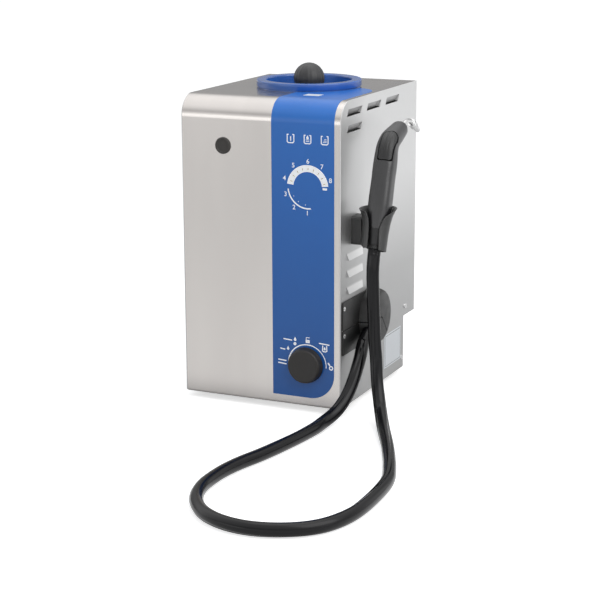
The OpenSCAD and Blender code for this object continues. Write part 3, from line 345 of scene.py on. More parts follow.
def make_floor():
    """White floor: bright for the camera, softer where shiny sides mirror it, and with a weak bounce."""
    bm = bmesh.new()
    bmesh.ops.create_grid(bm, x_segments=FLOOR_CELLS, y_segments=FLOOR_CELLS, size=FLOOR_SIZE)
    mat = bpy.data.materials.new("floor")
    mat.use_nodes = True
    tree = mat.node_tree
    shader = tree.nodes["Principled BSDF"]
    white = bright_background(tree)
    noise = tree.nodes.new("ShaderNodeTexNoise")
    noise.inputs["Scale"].default_value = FLOOR_TONE_SCALE
    tone = math_node(tree, "MULTIPLY", ranged(tree, noise.outputs["Fac"], *FLOOR_TONE),
                     ranged(tree, white, FLOOR_BOUNCE, FLOOR_SEEN))
    tree.links.new(tone, shader.inputs["Base Color"])
    shader.inputs["Roughness"].default_value = FLOOR_ROUGH
    shader.inputs["Specular IOR Level"].default_value = FLOOR_SPECULAR
    shader.inputs["Emission Color"].default_value = WHITE
    y = parted(tree, "Object")["Y"]
    glow = ranged(tree, y, FLOOR_DARK, FLOOR_GLOW, *FLOOR_FADE)
    glow = math_node(tree, "MAXIMUM", glow, ranged(tree, y, FLOOR_FRONT, 0.0, *FLOOR_FRONT_FADE))
    glow = math_node(tree, "MAXIMUM", glow, ranged(tree, y, FLOOR_FAR, 0.0, *FLOOR_FAR_FADE))
    path = tree.nodes.new("ShaderNodeLightPath").outputs
    seen = math_node(tree, "MULTIPLY", path["Is Camera Ray"], FLOOR_GLOW)
    glow = math_node(tree, "MAXIMUM", math_node(tree, "MULTIPLY", white, glow), seen)
    tree.links.new(glow, shader.inputs["Emission Strength"])
    obj = piece("floor", bm, mat, None)


def make_studio():
    make_camera()
    make_world()
    make_floor()
    for row in LAMPS:
        make_lamp(*row)
    bpy.context.scene.view_settings.view_transform = "Standard"


# ------------------------------------------------------------------ materials


NOISE_SPREAD = (0.3, 0.7)  # the part of the noise range that carries the whole change
GRAIN_DEPTH = 0.0002


def material(name, colour, rough, metal=0.0, tone=0.05, scale=60.0, stretch=(1, 1, 1),
             grain=0.0, grain_scale=900.0, grain_stretch=(1, 1, 1), rough_range=0.06,
             coat=0.0, specular=0.5, colour_low=None, span=(0.0, 0.4), painted_light=(), glow=0.0, sheen=0.0):
    """Procedural finish: soft changes of tone and roughness, and a fine grain as bump.

    With colour_low, the colour passes from that at height span[0] to the main one at span[1].
    Each painted_light entry (axis, start, end, first, last) is painted light or shade, scaling the colour
    by first at start and by last at end; along X it counts from the middle plane outwards on both sides.
    """
    mat = bpy.data.materials.new(name)
    mat.use_nodes = True
    tree = mat.node_tree
    shader = tree.nodes["Principled BSDF"]
    link = tree.links.new
    coords = tree.nodes.new("ShaderNodeTexCoord")
    split = parted(tree, "Object")

    def noise(size, stretched, detail):
        mapping = tree.nodes.new("ShaderNodeMapping")
        mapping.inputs["Scale"].default_value = stretched
        link(coords.outputs["Object"], mapping.inputs["Vector"])
        tex = tree.nodes.new("ShaderNodeTexNoise")
        tex.inputs["Scale"].default_value = size
        tex.inputs["Detail"].default_value = detail
        link(mapping.outputs[0], tex.inputs["Vector"])
        return tex.outputs["Fac"]

    def spread(value, low, high, ends=NOISE_SPREAD):
        return ranged(tree, value, low, high, *ends, "LINEAR")

    def plain(rgb):
        node = tree.nodes.new("ShaderNodeRGB")
        node.outputs[0].default_value = (*rgb, 1)
        return node.outputs[0]

    def scaled(colour_in, factor):
        node = tree.nodes.new("ShaderNodeHueSaturation")
        link(factor, node.inputs["Value"])
        link(colour_in, node.inputs["Color"])
        return node.outputs[0]

    colour_out = plain(colour)
    if colour_low:
        blend = tree.nodes.new("ShaderNodeMix")
        blend.data_type = "RGBA"
        link(spread(split["Z"], 0, 1, span), blend.inputs["Factor"])
        link(plain(colour_low), blend.inputs["A"])
        link(colour_out, blend.inputs["B"])
        colour_out = blend.outputs["Result"]
    for axis, start, end, first, last in painted_light:
        place = math_node(tree, "ABSOLUTE", split["X"], 0) if axis == "X" else split[axis]
        colour_out = scaled(colour_out, spread(place, first, last, (start, end)))
    soft = noise(scale, stretch, 3)
    link(scaled(colour_out, spread(soft, 1 - tone, 1 + tone)), shader.inputs["Base Color"])
    link(spread(soft, rough - rough_range, rough + rough_range), shader.inputs["Roughness"])
    if grain:
        bump = tree.nodes.new("ShaderNodeBump")
        bump.inputs["Strength"].default_value = grain
        bump.inputs["Distance"].default_value = GRAIN_DEPTH
        link(noise(grain_scale, grain_stretch, 2), bump.inputs["Height"])
        link(bump.outputs[0], shader.inputs["Normal"])
    shader.inputs["Metallic"].default_value = metal
    shader.inputs["Specular IOR Level"].default_value = specular
    shader.inputs["Coat Weight"].default_value = coat
    shader.inputs["Sheen Weight"].default_value = sheen
    if glow:
        shader.inputs["Emission Color"].default_value = (*colour, 1)
        shader.inputs["Emission Strength"].default_value = glow
    return mat


def srgb(r, g, b):
    """Linear colour of an sRGB one in steps of 255."""
    return tuple(
        (c / 255 / 12.92) if c <= 10 else ((c / 255 + 0.055) / 1.055) ** 2.4 for c in (r, g, b)
    )


M = {}
# Painted light and shade on the side sheets, as scales of their colour: painted shade along the front edge,
# towards the foot and in the louvre recesses, painted light on the faces of the louvre hoods
SIDE_PAINTED_LIGHT = (
    ("Y", -0.130, -0.05, 0.77, 1),       # painted shade along the front edge
    ("Z", 0.16, 0.29, 0.70, 1),          # painted shade towards the foot: the lower part darker
    ("X", 0.1035, 0.1110, 0.55, 1),      # painted shade in the recesses of the louvres
    ("X", 0.1109, 0.1114, 0.62, 1),
    ("X", 0.1121, 0.1127, 1, 1.5),       # painted light on the faces of their hoods
)


def make_materials():
    M["steel"] = material("brushed_steel", srgb(180, 176, 173), 0.18, metal=0.82, tone=0.03, scale=9,
                          stretch=(3, 0.3, 0.3), grain=0.10, grain_scale=900, grain_stretch=(1, 0.004, 0.004),
                          rough_range=0.02)
    # The side sheets carry the painted shade and painted light listed above
    M["side_steel"] = material("side_steel", srgb(213, 213, 213), 0.42, metal=0.86, tone=0.012, scale=5,
                               stretch=(1, 1, 0.3), grain=0.02, grain_scale=900, grain_stretch=(1, 1, 0.004),
                               rough_range=0.01,
                               painted_light=SIDE_PAINTED_LIGHT)
    M["bright_steel"] = material("bright_steel", srgb(205, 205, 205), 0.18, metal=1.0, tone=0.03, scale=300,
                                 grain=0.05)
    M["screw_steel"] = material("screw_steel", srgb(225, 225, 225), 0.28, metal=0.8, tone=0.05, scale=500,
                                grain=0.1)
    M["boiler_steel"] = material("boiler_steel", srgb(175, 175, 172), 0.34, metal=0.9, tone=0.05, scale=40,
                                 stretch=(1, 1, 6), grain=0.1)
    # The film's darker colour towards the bottom (colour_low over span) is painted shade
    M["film"] = material("blue_film", srgb(50, 119, 207), 0.24, specular=0.32, tone=0.012, scale=25,
                         grain=0.04, grain_scale=2500, rough_range=0.008, colour_low=srgb(34, 92, 166),
                         span=(0.02, 0.38))
    # The print's weak glow is painted light that keeps it white
    M["print"] = material("white_print", srgb(250, 252, 255), 0.5, tone=0.02, scale=200, glow=0.18)
    M["window"] = material("light_window", srgb(206, 196, 168), 0.35, tone=0.05, scale=400)
    M["ring"] = material("blue_ring", srgb(38, 92, 172), 0.24, tone=0.03, scale=30, grain=0.04, coat=0.25)
    M["ball"] = material("grey_ball", srgb(52, 52, 53), 0.45, specular=0.36, tone=0.12, scale=160, grain=0.5,
                         grain_scale=700)
    M["knob"] = material("black_knob", srgb(38, 36, 35), 0.42, specular=0.28, tone=0.06, scale=90, grain=0.25,
                         grain_scale=1600)
    M["plug"] = material("black_plug", srgb(56, 54, 52), 0.5, specular=0.3, tone=0.05, scale=90, grain=0.2)
    M["grip"] = material("grey_grip", srgb(30, 30, 32), 0.34, specular=0.62, tone=0.05, scale=60, grain=0.3,
                         grain_scale=1800)
    M["button"] = material("dark_button", srgb(26, 26, 27), 0.42, specular=0.4, tone=0.05, scale=90,
                           grain=0.3, grain_scale=1800)
    M["collar"] = material("dark_collar", srgb(30, 30, 31), 0.45, specular=0.35, tone=0.05, scale=90,
                           grain=0.3)
    M["holder"] = material("black_holder", srgb(48, 48, 48), 0.42, specular=0.5, tone=0.05, scale=70,
                           grain=0.35, grain_scale=1500)
    M["housing"] = material("black_housing", srgb(15, 15, 15), 0.38, specular=0.4, tone=0.06, scale=60,
                            grain=0.4, grain_scale=1300)
    M["hose"] = material("hose_rubber", srgb(11, 11, 14), 0.2, specular=0.2, tone=0.08, scale=35, grain=0.12,
                         grain_scale=900)
    M["rubber"] = material("rubber", srgb(38, 38, 38), 0.7, tone=0.08, scale=80, grain=0.3)
    M["plate"] = material("pale_plate", srgb(222, 226, 230), 0.4, tone=0.015, scale=60)
    M["white"] = material("white_plastic", srgb(226, 228, 226), 0.4, tone=0.02, scale=40, grain=0.05)
    M["felt"] = material("jacket_felt", srgb(205, 200, 186), 0.9, tone=0.08, scale=140, grain=0.8,
                         grain_scale=600, sheen=0.3)
    M["brass"] = material("brass", srgb(205, 168, 96), 0.3, metal=0.95, tone=0.05, scale=120, grain=0.08)
    M["paint"] = material("pump_paint", srgb(92, 97, 104), 0.4, tone=0.04, scale=80, grain=0.15)
    M["board"] = material("board_green", srgb(28, 92, 52), 0.45, tone=0.10, scale=220, grain=0.15)
    M["lamp"] = material("lamp", srgb(240, 232, 200), 0.3, tone=0.03, scale=300, glow=0.15)
    M["red"] = material("red_paint", srgb(176, 34, 28), 0.35, tone=0.05, scale=100, grain=0.08)


# Which finish each solid takes, and how far its edges are rounded, in millimetres
FINISH = {
    "steel": "front_top_cover rear_panel base_pan tank_shelf",
    "side_steel": "right_side_panel left_side_panel",
    "bright_steel": "nozzle_tube nozzle_collar nozzle_tip cap_spindle cap_plate selector_shaft "
                    "trigger_spring",
    "screw_steel": "foot_screws panel_screws hose_housing_screws holder_screws board_spacers",
    "boiler_steel": "boiler boiler_legs heating_element pressure_switch",
    "film": "control_film",
    "ring": "fill_ring",
    "ball": "ball_knob",
    "knob": "selector_knob trigger_switch",
    "plug": "blind_plug",
    "grip": "handpiece_body",
    "button": "trigger_button",
    "collar": "handpiece_collar",
    "holder": "holder_block holder_cradle",
    "housing": "hose_housing_upper hose_housing_lower mains_inlet",
    "hose": "steam_hose hose_gland",
    "rubber": "feet neck_gasket cap_seal pump_mounts handpiece_grommet",
    "plate": "rating_plate",
    "white": "water_tank water_pipes thermostat level_probe selector_switch",
    "felt": "boiler_jacket",
    "brass": "safety_valve solenoid_valve drain_valve steam_pipe",
    "paint": "water_pump",
    "board": "display_board control_board",
    "lamp": "indicator_leds",
    "red": "drain_lever",
}
EDGES = {
    0.5: "holder_block hose_housing_screws panel_screws nozzle_collar rating_plate handpiece_collar "
         "drain_lever mains_inlet feet blind_plug handpiece_grommet hose_gland",
    0.25: "front_top_cover right_side_panel left_side_panel rear_panel",
    1.2: "hose_housing_upper hose_housing_lower",
}


def dress_solids():
    for finish, names in FINISH.items():
        for name in names.split():
            mesh = NODES[name].data
            mesh.materials.clear()
            mesh.materials.append(M[finish])
    for width, names in EDGES.items():
        for name in names.split():
            bevel(NODES[name], width)


# ------------------------------------------------------------------ hose

HOSE_R = 8.2
HOSE_PLACES = [            # middle line from the gland to the grommet; HOSE_R is its height on the floor
    (126, -90, 89), (128, -100, 83), (129, -109, 73), (129, -124, 56), (127, -138, 39), (124, -153, 26),
    (119, -168, 16), (113, -190, 9.5), (111, -220, HOSE_R), (104, -272, HOSE_R), (94, -325, HOSE_R),
    (83, -369, HOSE_R), (78, -408, HOSE_R), (80, -453, HOSE_R), (93, -492, HOSE_R), (117.5, -523, HOSE_R),
    (150, -541, HOSE_R), (186, -545, HOSE_R), (222, -534, HOSE_R), (249.5, -511, HOSE_R),
    (265, -475.5, HOSE_R), (269.8, -429.2, HOSE_R), (265.5, -359.8, HOSE_R), (249.9, -309.6, HOSE_R),
    (221.4, -243.7, HOSE_R), (192.9, -185, 9.5), (174.9, -149, 18), (165.2, -132.4, 35), (159.5, -124, 53),
    (155, -117, 80), (153, -117, 103), (151, -118, 155), (150, -118, 190), (150, -115.3, 210.25),
    (150, -113.757, 215.005), (150, -112.212, 219.76)]
HOSE_STEPS = 7             # samples between two places
HOSE_SIDES = 40


def spline_path(places, steps):
    """Catmull-Rom curve through the places, with steps samples to each stretch."""
    points = [Vector(p) for p in places]
    out = []
    for i in range(len(points) - 1):
        p0, p1, p2 = points[max(i - 1, 0)], points[i], points[i + 1]
        p3 = points[min(i + 2, len(points) - 1)]
        for s in range(steps):
            u = s / steps
            out.append(0.5 * (2 * p1 + (p2 - p0) * u + (2 * p0 - 5 * p1 + 4 * p2 - p3) * u * u
                              + (3 * p1 - p0 - 3 * p2 + p3) * u ** 3))
    out.append(points[-1])
    return out


GROOVES = (70, 205)        # where the two grooves start round the hose, in degrees
GROOVE_DEPTH = 0.17        # share of the radius
GROOVE_WIDTH = 0.24        # radians
HOSE_TWIST = 1.1           # turns over the whole length


def make_hose():
    """The hose: two long grooves turn slowly round it."""
    path = spline_path(HOSE_PLACES, HOSE_STEPS)
    length = sum((b - a).length for a, b in zip(path, path[1:]))
    rings = []
    across = Vector((1, 0, 0))
    run = 0.0
    for i, p in enumerate(path):
        along = (path[min(i + 1, len(path) - 1)] - path[max(i - 1, 0)]).normalized()
        across = (across - along * across.dot(along)).normalized()
        other = along.cross(across)
        run += (p - path[i - 1]).length if i else 0
        turn = 2 * math.pi * HOSE_TWIST * run / length
        ring = []
        for k in range(HOSE_SIDES):
            a = 2 * math.pi * k / HOSE_SIDES
            r = HOSE_R
            for g in GROOVES:
                off = (a - turn - math.radians(g) + math.pi) % (2 * math.pi) - math.pi
                r -= HOSE_R * GROOVE_DEPTH * math.exp(-(off / GROOVE_WIDTH) ** 2)
            ring.append((p + r * (math.cos(a) * across + math.sin(a) * other)) * MM)
        rings.append(ring)
    hose = piece("hose", rings_mesh(rings), M["hose"], None, ("steam_hose",))
    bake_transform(hose)
    print("HOSE LENGTH", round(length, 1))


# ------------------------------------------------------------------ filler ring, cap and knobs

FILL = (3, 15)
RING_SIDES = 128


def make_fill_ring():
    """Blue ring with rounded lip, a shadow groove at its foot, and the funnel with its neck."""
    outer, inner, top, lip = 70, 57, 415.4, 1.3
    profile = [(25, 387), (25, 366), (28, 366), (28, 384), (60, 384), (60, 405), (68.6, 405), (68.6, 406.2)]
    profile += [(outer - 0.6, 406.4), (outer, 407.2)]
    profile += arc_profile(outer - lip, top - lip, lip, 0, 90)
    profile += arc_profile(inner + lip * 1.6, top - lip * 1.6, lip * 1.6, 90, 180)
    profile += [(inner, 391)] + arc_profile(inner - 4, 391, 4, 0, -90, 4)
    bm = lathe(profile, at(*FILL, 0), RING_SIDES)
    cap_off(bm, profile, RING_SIDES)
    sharpen(piece("filler_ring", bm, M["ring"], "housing", ("fill_ring",)), 40)


def cap_off(bm, profile, sides):
    """Turns the two end caps of a turned piece into a join between its first and last ring."""
    bm.faces.ensure_lookup_table()
    ends = [f for f in bm.faces if len(f.verts) == sides]
    bmesh.ops.delete(bm, geom=ends, context="FACES_ONLY")
    bm.verts.ensure_lookup_table()
    last = (len(profile) - 1) * sides
    for k in range(sides):
        n = (k + 1) % sides
        bm.faces.new((bm.verts[last + k], bm.verts[last + n], bm.verts[n], bm.verts[k]))


BALL_Z = 416
BALL_R = 20.5
BALL_FROM, BALL_TO = -74, 89.5       # the ball is cut flat below, degrees
BALL_STEPS = 40
BALL_FLUTES = 20
BALL_FLUTE = 0.012                   # share of the radius


def make_ball():
    """Ball of the filling cap, with faint flutes."""
    profile = arc_profile(0, 0, BALL_R, BALL_FROM, BALL_TO, BALL_STEPS)
    bm = lathe(profile, at(*FILL, BALL_Z), 120, waves=BALL_FLUTES, wave=BALL_FLUTE)
    piece("ball", bm, M["ball"], "cap", ("ball_knob",))


KNOB = (64.25, -132.8, 64)
KNOB_SIDES = 128


def make_selector():
    """Selector knob: short skirt, tapered wall, rounded edge and a face that is slightly dished."""
    profile = [(4, 0.5), (4, 0), (23.2, 0), (23.6, 0.5), (23.6, 2.0), (23.3, 2.4), (22.6, 7.2)]
    profile += arc_profile(19.2, 7.6, 3.3, 0, 90, 8)
    profile += [(15, 10.75), (8, 10.6), (0.5, 10.55)]
    knob = piece("selector", lathe(profile, at(*KNOB, 90), KNOB_SIDES), M["knob"], "selector",
                 ("selector_knob",))
    sharpen(knob, 50)


# ------------------------------------------------------------------ print on the film

PRINT_T = 0.06
JOINT_SHARE = 0.9          # the round joints of a line lie a little lower than its strokes
FILM_FACE = at(0, FRONT_Y - FILM_T, 0, 90)      # local X, Y are the X, Z of the model, Z is outwards
DIAL = (66.8, 296.3)
DIAL_NUMBERS = {"1": (66.3, 263.2), "2": (47.7, 269.6), "3": (36.0, 285.8), "4": (34.6, 306.2),
                "5": (47.0, 323.2), "6": (67.1, 329.2), "7": (86.4, 323.5), "8": (98.0, 306.7)}
NUMBER_BOLD = 0.09
NUMBER_SIZE = 8.4
KNOB_ARC = (65.4, 64.4)


def on_arc(centre, radius, degrees):
    a = math.radians(degrees)
    return centre[0] + radius * math.cos(a), centre[1] + radius * math.sin(a)


def stroke(bm, outline):
    """One filled shape of the print."""
    prism(bm, outline, FILM_FACE, 0, PRINT_T)


def polygon(centre, radius, count):
    return [on_arc(centre, radius, 360 / count * k) for k in range(count)]


def arc_band(bm, centre, inner, outer, start, end, steps=40):
    """Band between two radii; inner and outer may be pairs, for a band that changes along the way."""
    inner = inner if isinstance(inner, tuple) else (inner, inner)
    outer = outer if isinstance(outer, tuple) else (outer, outer)
    for i in range(steps):
        a, b = i / steps, (i + 1) / steps
        corners = ((inner, a), (outer, a), (outer, b), (inner, b))
        stroke(bm, [on_arc(centre, mix(*edge, t), mix(start, end, t)) for edge, t in corners])


def line(bm, points, width):
    """Open line of straight strokes with round joints."""
    for (x0, y0), (x1, y1) in zip(points, points[1:]):
        run = math.hypot(x1 - x0, y1 - y0)
        nx, ny = -(y1 - y0) / run * width / 2, (x1 - x0) / run * width / 2
        stroke(bm, [(x0 + nx, y0 + ny), (x0 - nx, y0 - ny), (x1 - nx, y1 - ny), (x1 + nx, y1 + ny)])
    for point in points:
        prism(bm, polygon(point, width / 2, 8), FILM_FACE, 0, PRINT_T * JOINT_SHARE)


def drop(bm, x, y, size):
    """Drop of water with its point up."""
    belly = [on_arc((x, y - size * 0.15), size * 0.36, a) for a in range(-220, 41, 20)]
    stroke(bm, belly + [(x, y + size * 0.62)])


def tank_icon(bm, x, y):
    """Open tank outline with the ends of its rim turned in."""
    w, h = 4.6, 5.2
    rim, corner = 1.6, 1.4
    half = [(w - rim, h), (w, h), (w, corner - h), (w - corner, -h)]
    line(bm, [(x - a, y + b) for a, b in half] + [(x + a, y + b) for a, b in reversed(half)], 1.25)


def make_numbers():
    for text, (x, y) in DIAL_NUMBERS.items():
        curve = bpy.data.curves.new("number_" + text, "FONT")
        curve.body = text
        curve.size = NUMBER_SIZE * MM
        curve.offset = NUMBER_BOLD * MM
        curve.align_x = "CENTER"
        curve.align_y = "CENTER"
        curve.extrude = PRINT_T * MM / 2
        obj = bpy.data.objects.new("number_" + text, curve)
        bpy.context.scene.collection.objects.link(obj)
        graph = bpy.context.evaluated_depsgraph_get()
        mesh = bpy.data.meshes.new_from_object(obj.evaluated_get(graph))
        bpy.data.objects.remove(obj)
        mesh.transform(FILM_FACE @ Matrix.Translation(mm(x, y, PRINT_T / 2)))
        mesh.materials.clear()
        mesh.materials.append(M["print"])
        shown = bpy.data.objects.new("dial_number_" + text, mesh)
        bpy.context.scene.collection.objects.link(shown)
        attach(shown, "housing")


def make_dial():
    """Scale of the dial: thick band with light windows, thin lower arc, numbers and tank outlines."""
    bm = bmesh.new()
    arc_band(bm, DIAL, 19.8, 28.5, 173.5, 6.0)
    arc_band(bm, DIAL, 26.4, 28.1, 187, 279, 28)
    stroke(bm, [(87.2, 297.0), (93.6, 297.0), (93.2, 294.3), (87.6, 294.3)])
    for degrees in (212, 236, 262):
        stroke(bm, polygon(on_arc(DIAL, 22.8, degrees), 0.55, 6))
    for x in (43.4, 66.8, 90.2):
        tank_icon(bm, x, 357)
    line(bm, [(43.6, 354.6), (43.6, 359.4)], 1.3)
    drop(bm, 66.8, 359.6, 4.6)
    for y in (354.6, 356.6):
        line(bm, [(64.6, y), (69.0, y)], 0.7)
    for k in range(3):
        line(bm, [(88.0 + k, 354.6 + 1.8 * k), (92.6, 354.6 + 1.8 * k)], 0.7)
    piece("dial_print", bm, M["print"], "housing", soft=False)
    make_numbers()
    make_dial_windows()


WINDOWS = 9
WINDOW_ARC = (163, 14)
WINDOW_R = 23.6
WINDOW_HALF = (1.7, 0.6)
WINDOW_T = 1.6             # how far they stand out, in thicknesses of the print


def make_dial_windows():
    """Small light windows along the thick band of the dial."""
    bm = bmesh.new()
    long, short = WINDOW_HALF
    for k in range(WINDOWS):
        a = mix(*WINDOW_ARC, k / (WINDOWS - 1))
        cx, cy = on_arc(DIAL, WINDOW_R, a)
        ux, uy = on_arc((0, 0), 1, a)
        corners = [(-long, -short), (long, -short), (long, short), (-long, short)]
        prism(bm, [(cx + r * ux - t * uy, cy + r * uy + t * ux) for r, t in corners],
              FILM_FACE, PRINT_T, PRINT_T * WINDOW_T)
    piece("dial_windows", bm, M["window"], "housing", soft=False)


def make_knob_print():
    """Arc round the selector knob with its plain marks."""
    bm = bmesh.new()
    arc_band(bm, KNOB_ARC, (25.6, 26.3), (27.3, 27.2), 176, -4, 60)
    for x0, x1, y in ((24.0, 36.2, 67.0), (24.0, 36.2, 62.6), (27.0, 34.4, 82.2), (31.6, 44.4, 95.4)):
        line(bm, [(x0 + 0.8, y + 0.4), (x1 - 0.8, y - 0.4)], 1.5)
    drop(bm, 38.4, 83.8, 4.6)
    drop(bm, 48.4, 96.8, 5.0)
    stroke(bm, polygon((48.2, 90.7), 2.2, 8))
    stroke(bm, [(63.4, 93.4), (69.0, 93.4), (69.0, 97.6), (63.4, 97.6)])
    line(bm, [(64.2, 98.2), (64.2, 100.6), (68.6, 100.6)], 0.8)
    line(bm, [(82.6, 94.8), (96.2, 93.8)], 1.5)
    line(bm, [(87.4, 92.0), (87.0, 85.4), (88.4, 84.4), (91.8, 84.4), (93.2, 85.4), (92.8, 92.0)], 1.3)
    drop(bm, 90.1, 88.4, 4.2)
    line(bm, [(95.2, 69.6), (97.0, 67.0)], 1.9)
    arc_band(bm, (99.0, 63.4), 1.5, 3.0, 0, 360, 24)
    piece("knob_print", bm, M["print"], "housing", soft=False)


TOP_PATCH = [(38, -83), (60, -83), (60, -66), (38, -66)]


def make_top_patch():
    """Bare pale patch on the film, in front of the filler ring."""
    bm = bmesh.new()
    prism(bm, TOP_PATCH, at(0, 0, TOP_Z + FILM_T), 0, PRINT_T)
    piece("top_patch", bm, M["plate"], "housing", soft=False)


# ------------------------------------------------------------------ handpiece and holder

GRIP = at(150, -110.5, 225, -18)
NECK_TURN = 55
HEAD = GRIP @ at(0, 25.585, 148.149, -NECK_TURN)     # frame where the neck of the grip ends
HEAD_L = 9
HEAD_R = 11.3
KNEE = 130.23              # the straight grip and the head meet here, measured along the grip
KNEE_HEAD = 31.23          # and this far in front of the head frame
KNEE_R = 25
KNEE_L = KNEE_R * math.tan(math.radians(NECK_TURN / 2))
KNEE_ARC = KNEE_R * math.radians(NECK_TURN)
GRIP_END = KNEE - KNEE_L + KNEE_ARC + KNEE_HEAD - KNEE_L + HEAD_L
GRIP_SIZES = [             # half width along the grip
    (20, 12.5), (34, 14.0), (50, 14.9), (84, 14.5), (100, 14.8), (112, 14.4), (130, 13.5), (146, 12.9),
    (GRIP_END, HEAD_R)]
GRIP_SQUARE = [(20, 2.0), (40, 3.0), (60, 3.5), (112, 3.3), (GRIP_END, 2.2)]      # 2 is round, more is square
GRIP_FIT = 0.945           # the squarer sections are scaled by this
GRIP_START = 20.3


def bent(radius, turn):
    """Frame at the end of a bend towards +Y, with the turn in radians."""
    shift = mm(0, radius * (1 - math.cos(turn)), radius * math.sin(turn))
    return Matrix.Translation(shift) @ Matrix.Rotation(-turn, 4, "X")


def grip_place(run):
    """Frame on the centre line of the grip at a distance from its foot."""
    straight = min(run, KNEE - KNEE_L)
    turn = min(max(run - straight, 0), KNEE_ARC) / KNEE_R
    rest = max(run - straight - KNEE_ARC, 0)
    return GRIP @ at(0, 0, straight) @ bent(KNEE_R, turn) @ at(0, 0, rest)


def grip_skin(grow=0.0, grooves=(), sides=96):
    """Closed skin of the grip: rounded square section, neck bent back, round end.

    Each groove (place, width, depth) runs along the front at that x.
    """
    runs = [mix(GRIP_START, KNEE - KNEE_L, i / 36) for i in range(37)]
    runs += [mix(KNEE - KNEE_L, GRIP_END, i / 34) for i in range(1, 35)]
    sections = [(run, between(GRIP_SIZES, run) + grow) for run in runs]
    dome = HEAD_R + grow
    sections += [(GRIP_END + dome * math.sin(t), dome * math.cos(t))
                 for t in (math.radians(9 * i) for i in range(1, 10))]
    sections.append((GRIP_END + dome * 0.9995, dome * 0.03))
    rings = []
    for run, size in sections:
        power = 2 / between(GRIP_SQUARE, run)
        size *= mix(1.0, GRIP_FIT, min(max((between(GRIP_SQUARE, run) - 2) / 0.75, 0), 1))
        m = grip_place(run)
        ring = []
        for k in range(sides):
            a = 2 * math.pi * k / sides
            c, sn = math.cos(a), math.sin(a)
            x = size * math.copysign(abs(c) ** power, c)
            y = size * math.copysign(abs(sn) ** power, sn)
            if y < 0:
                for place, width, depth in grooves:
                    y += depth * math.exp(-((x - place) / width) ** 2)
            ring.append(m @ mm(x, y, 0))
        rings.append(ring)
    return rings_mesh(rings)


BUTTON = GRIP @ at(3.0, -11, 106.5, -18)
BUTTON_W = 17.0
BUTTON_L = 41
BUTTON_GAP = 1.2
BUTTON_GROW = 0.35         # how far its skin stands proud of the grip
BUTTON_DEEP = -14
BUTTON_HIGH = 2.4
POCKET_HIGH = 5.2


def button_prism(grow, low, high):
    """Prism over the button outline: flat foot with small corners, round top."""
    r = BUTTON_W / 2
    foot = [(-r - grow, 2 - grow), (-r + 2 - grow, -grow), (r - 2 + grow, -grow), (r + grow, 2 - grow)]
    outline = foot + [on_arc((0, BUTTON_L - r), r + grow, mix(0, 180, k / 28)) for k in range(29)]
    bm = bmesh.new()
    face = BUTTON @ Matrix.Rotation(math.radians(90), 4, "X")
    prism(bm, outline, face, -high, -low)
    return bm


def make_handpiece():
    """Skin of the grip with a pocket for the button, and the button as the part of a wider skin above it."""
    body = combined(grip_skin(grooves=((0, 0.35, 0.3),)),
                    button_prism(BUTTON_GAP, BUTTON_DEEP, POCKET_HIGH), "DIFFERENCE")
    grip = piece("handpiece_skin", body, M["grip"], "handpiece", ("handpiece_body",))
    sharpen(grip, 35)
    bevel(grip, 0.5, 2, 50)
    face = combined(grip_skin(BUTTON_GROW, ((0.4, 0.5, 1.3), (5.6, 0.45, 0.5))),
                    button_prism(0.0, BUTTON_DEEP, BUTTON_HIGH), "INTERSECT")
    button = piece("button_skin", face, M["button"], "trigger", ("trigger_button",))
    sharpen(button, 35)
    bevel(button, 1.1, 3, 50)


NOZZLE_RUN = 31            # straight tube in front of the head, then its bend
NOZZLE_R = 30
NOZZLE_TURN = 45
NOZZLE_BAND = [(3.3, 5.2), (4.9, 5), (5.0, 5.5), (5.0, 13), (4.7, 13.6), (3.3, 13.7)]
NOZZLE_CONE = [(1.2, 12), (4.5, 12), (4.35, 14), (3.3, 28.6), (3.0, 29), (1.2, 29)]
NOZZLE_SIDES = 64


def make_nozzle_tip():
    """Tapered nozzle end with a knurled band and a dark opening."""
    m = HEAD @ at(0, 0, NOZZLE_RUN) @ bent(NOZZLE_R, math.radians(NOZZLE_TURN))
    knurled = lathe(NOZZLE_BAND, m, 96, waves=24, wave=0.035)
    piece("nozzle_band", knurled, M["bright_steel"], "handpiece")
    bm = lathe(NOZZLE_CONE, m, NOZZLE_SIDES)
    cap_off(bm, NOZZLE_CONE, NOZZLE_SIDES)
    sharpen(piece("nozzle_cone", bm, M["bright_steel"], "handpiece", ("nozzle_tip",)), 30)


CUP = GRIP @ at(-2.2, 0, -7)
CUP_H = 54
CUP_OUT = [(0, 16.8), (20, 17.1), (34, 18.0), (44, 19.9), (50, 22.0), (54, 24.2)]
CUP_WALL = 2.6
CUP_LEAN = 0.325           # the rim lies level though the cup leans back
CUP_NOTCH = 9              # how far the foot of the cup rises on its left
# Degrees from the front to either edge of the opening, by height
CUP_RIGHT = [(0, 47), (14, 41), (26, 37), (34, 40), (41, 47), (46, 55), (49, 70), (52, 90), (54, 102)]
CUP_LEFT = [(0, 9), (14, 9), (30, 11), (44, 15), (54, 22)]
LIP_R = 15.8
LIP_RIBS = 3
LIP_STEP = (1.7, 0.9)      # each rib lies this much further in and higher
LIP_ARC = (176, 246)
LIP_SIZE = (0.85, 1.3)
LIP_SIDES = 10
LINK = [(126, -98), (132.5, -98), (134, -94), (136, -88), (136, -80), (134, -77), (126, -76)]
LINK_Z = (221.5, 253.5)


def cup_foot(degrees):
    """Height of the lower edge of the cup at an angle round it."""
    return CUP_NOTCH * math.exp(-((degrees - 190) / 45) ** 2)


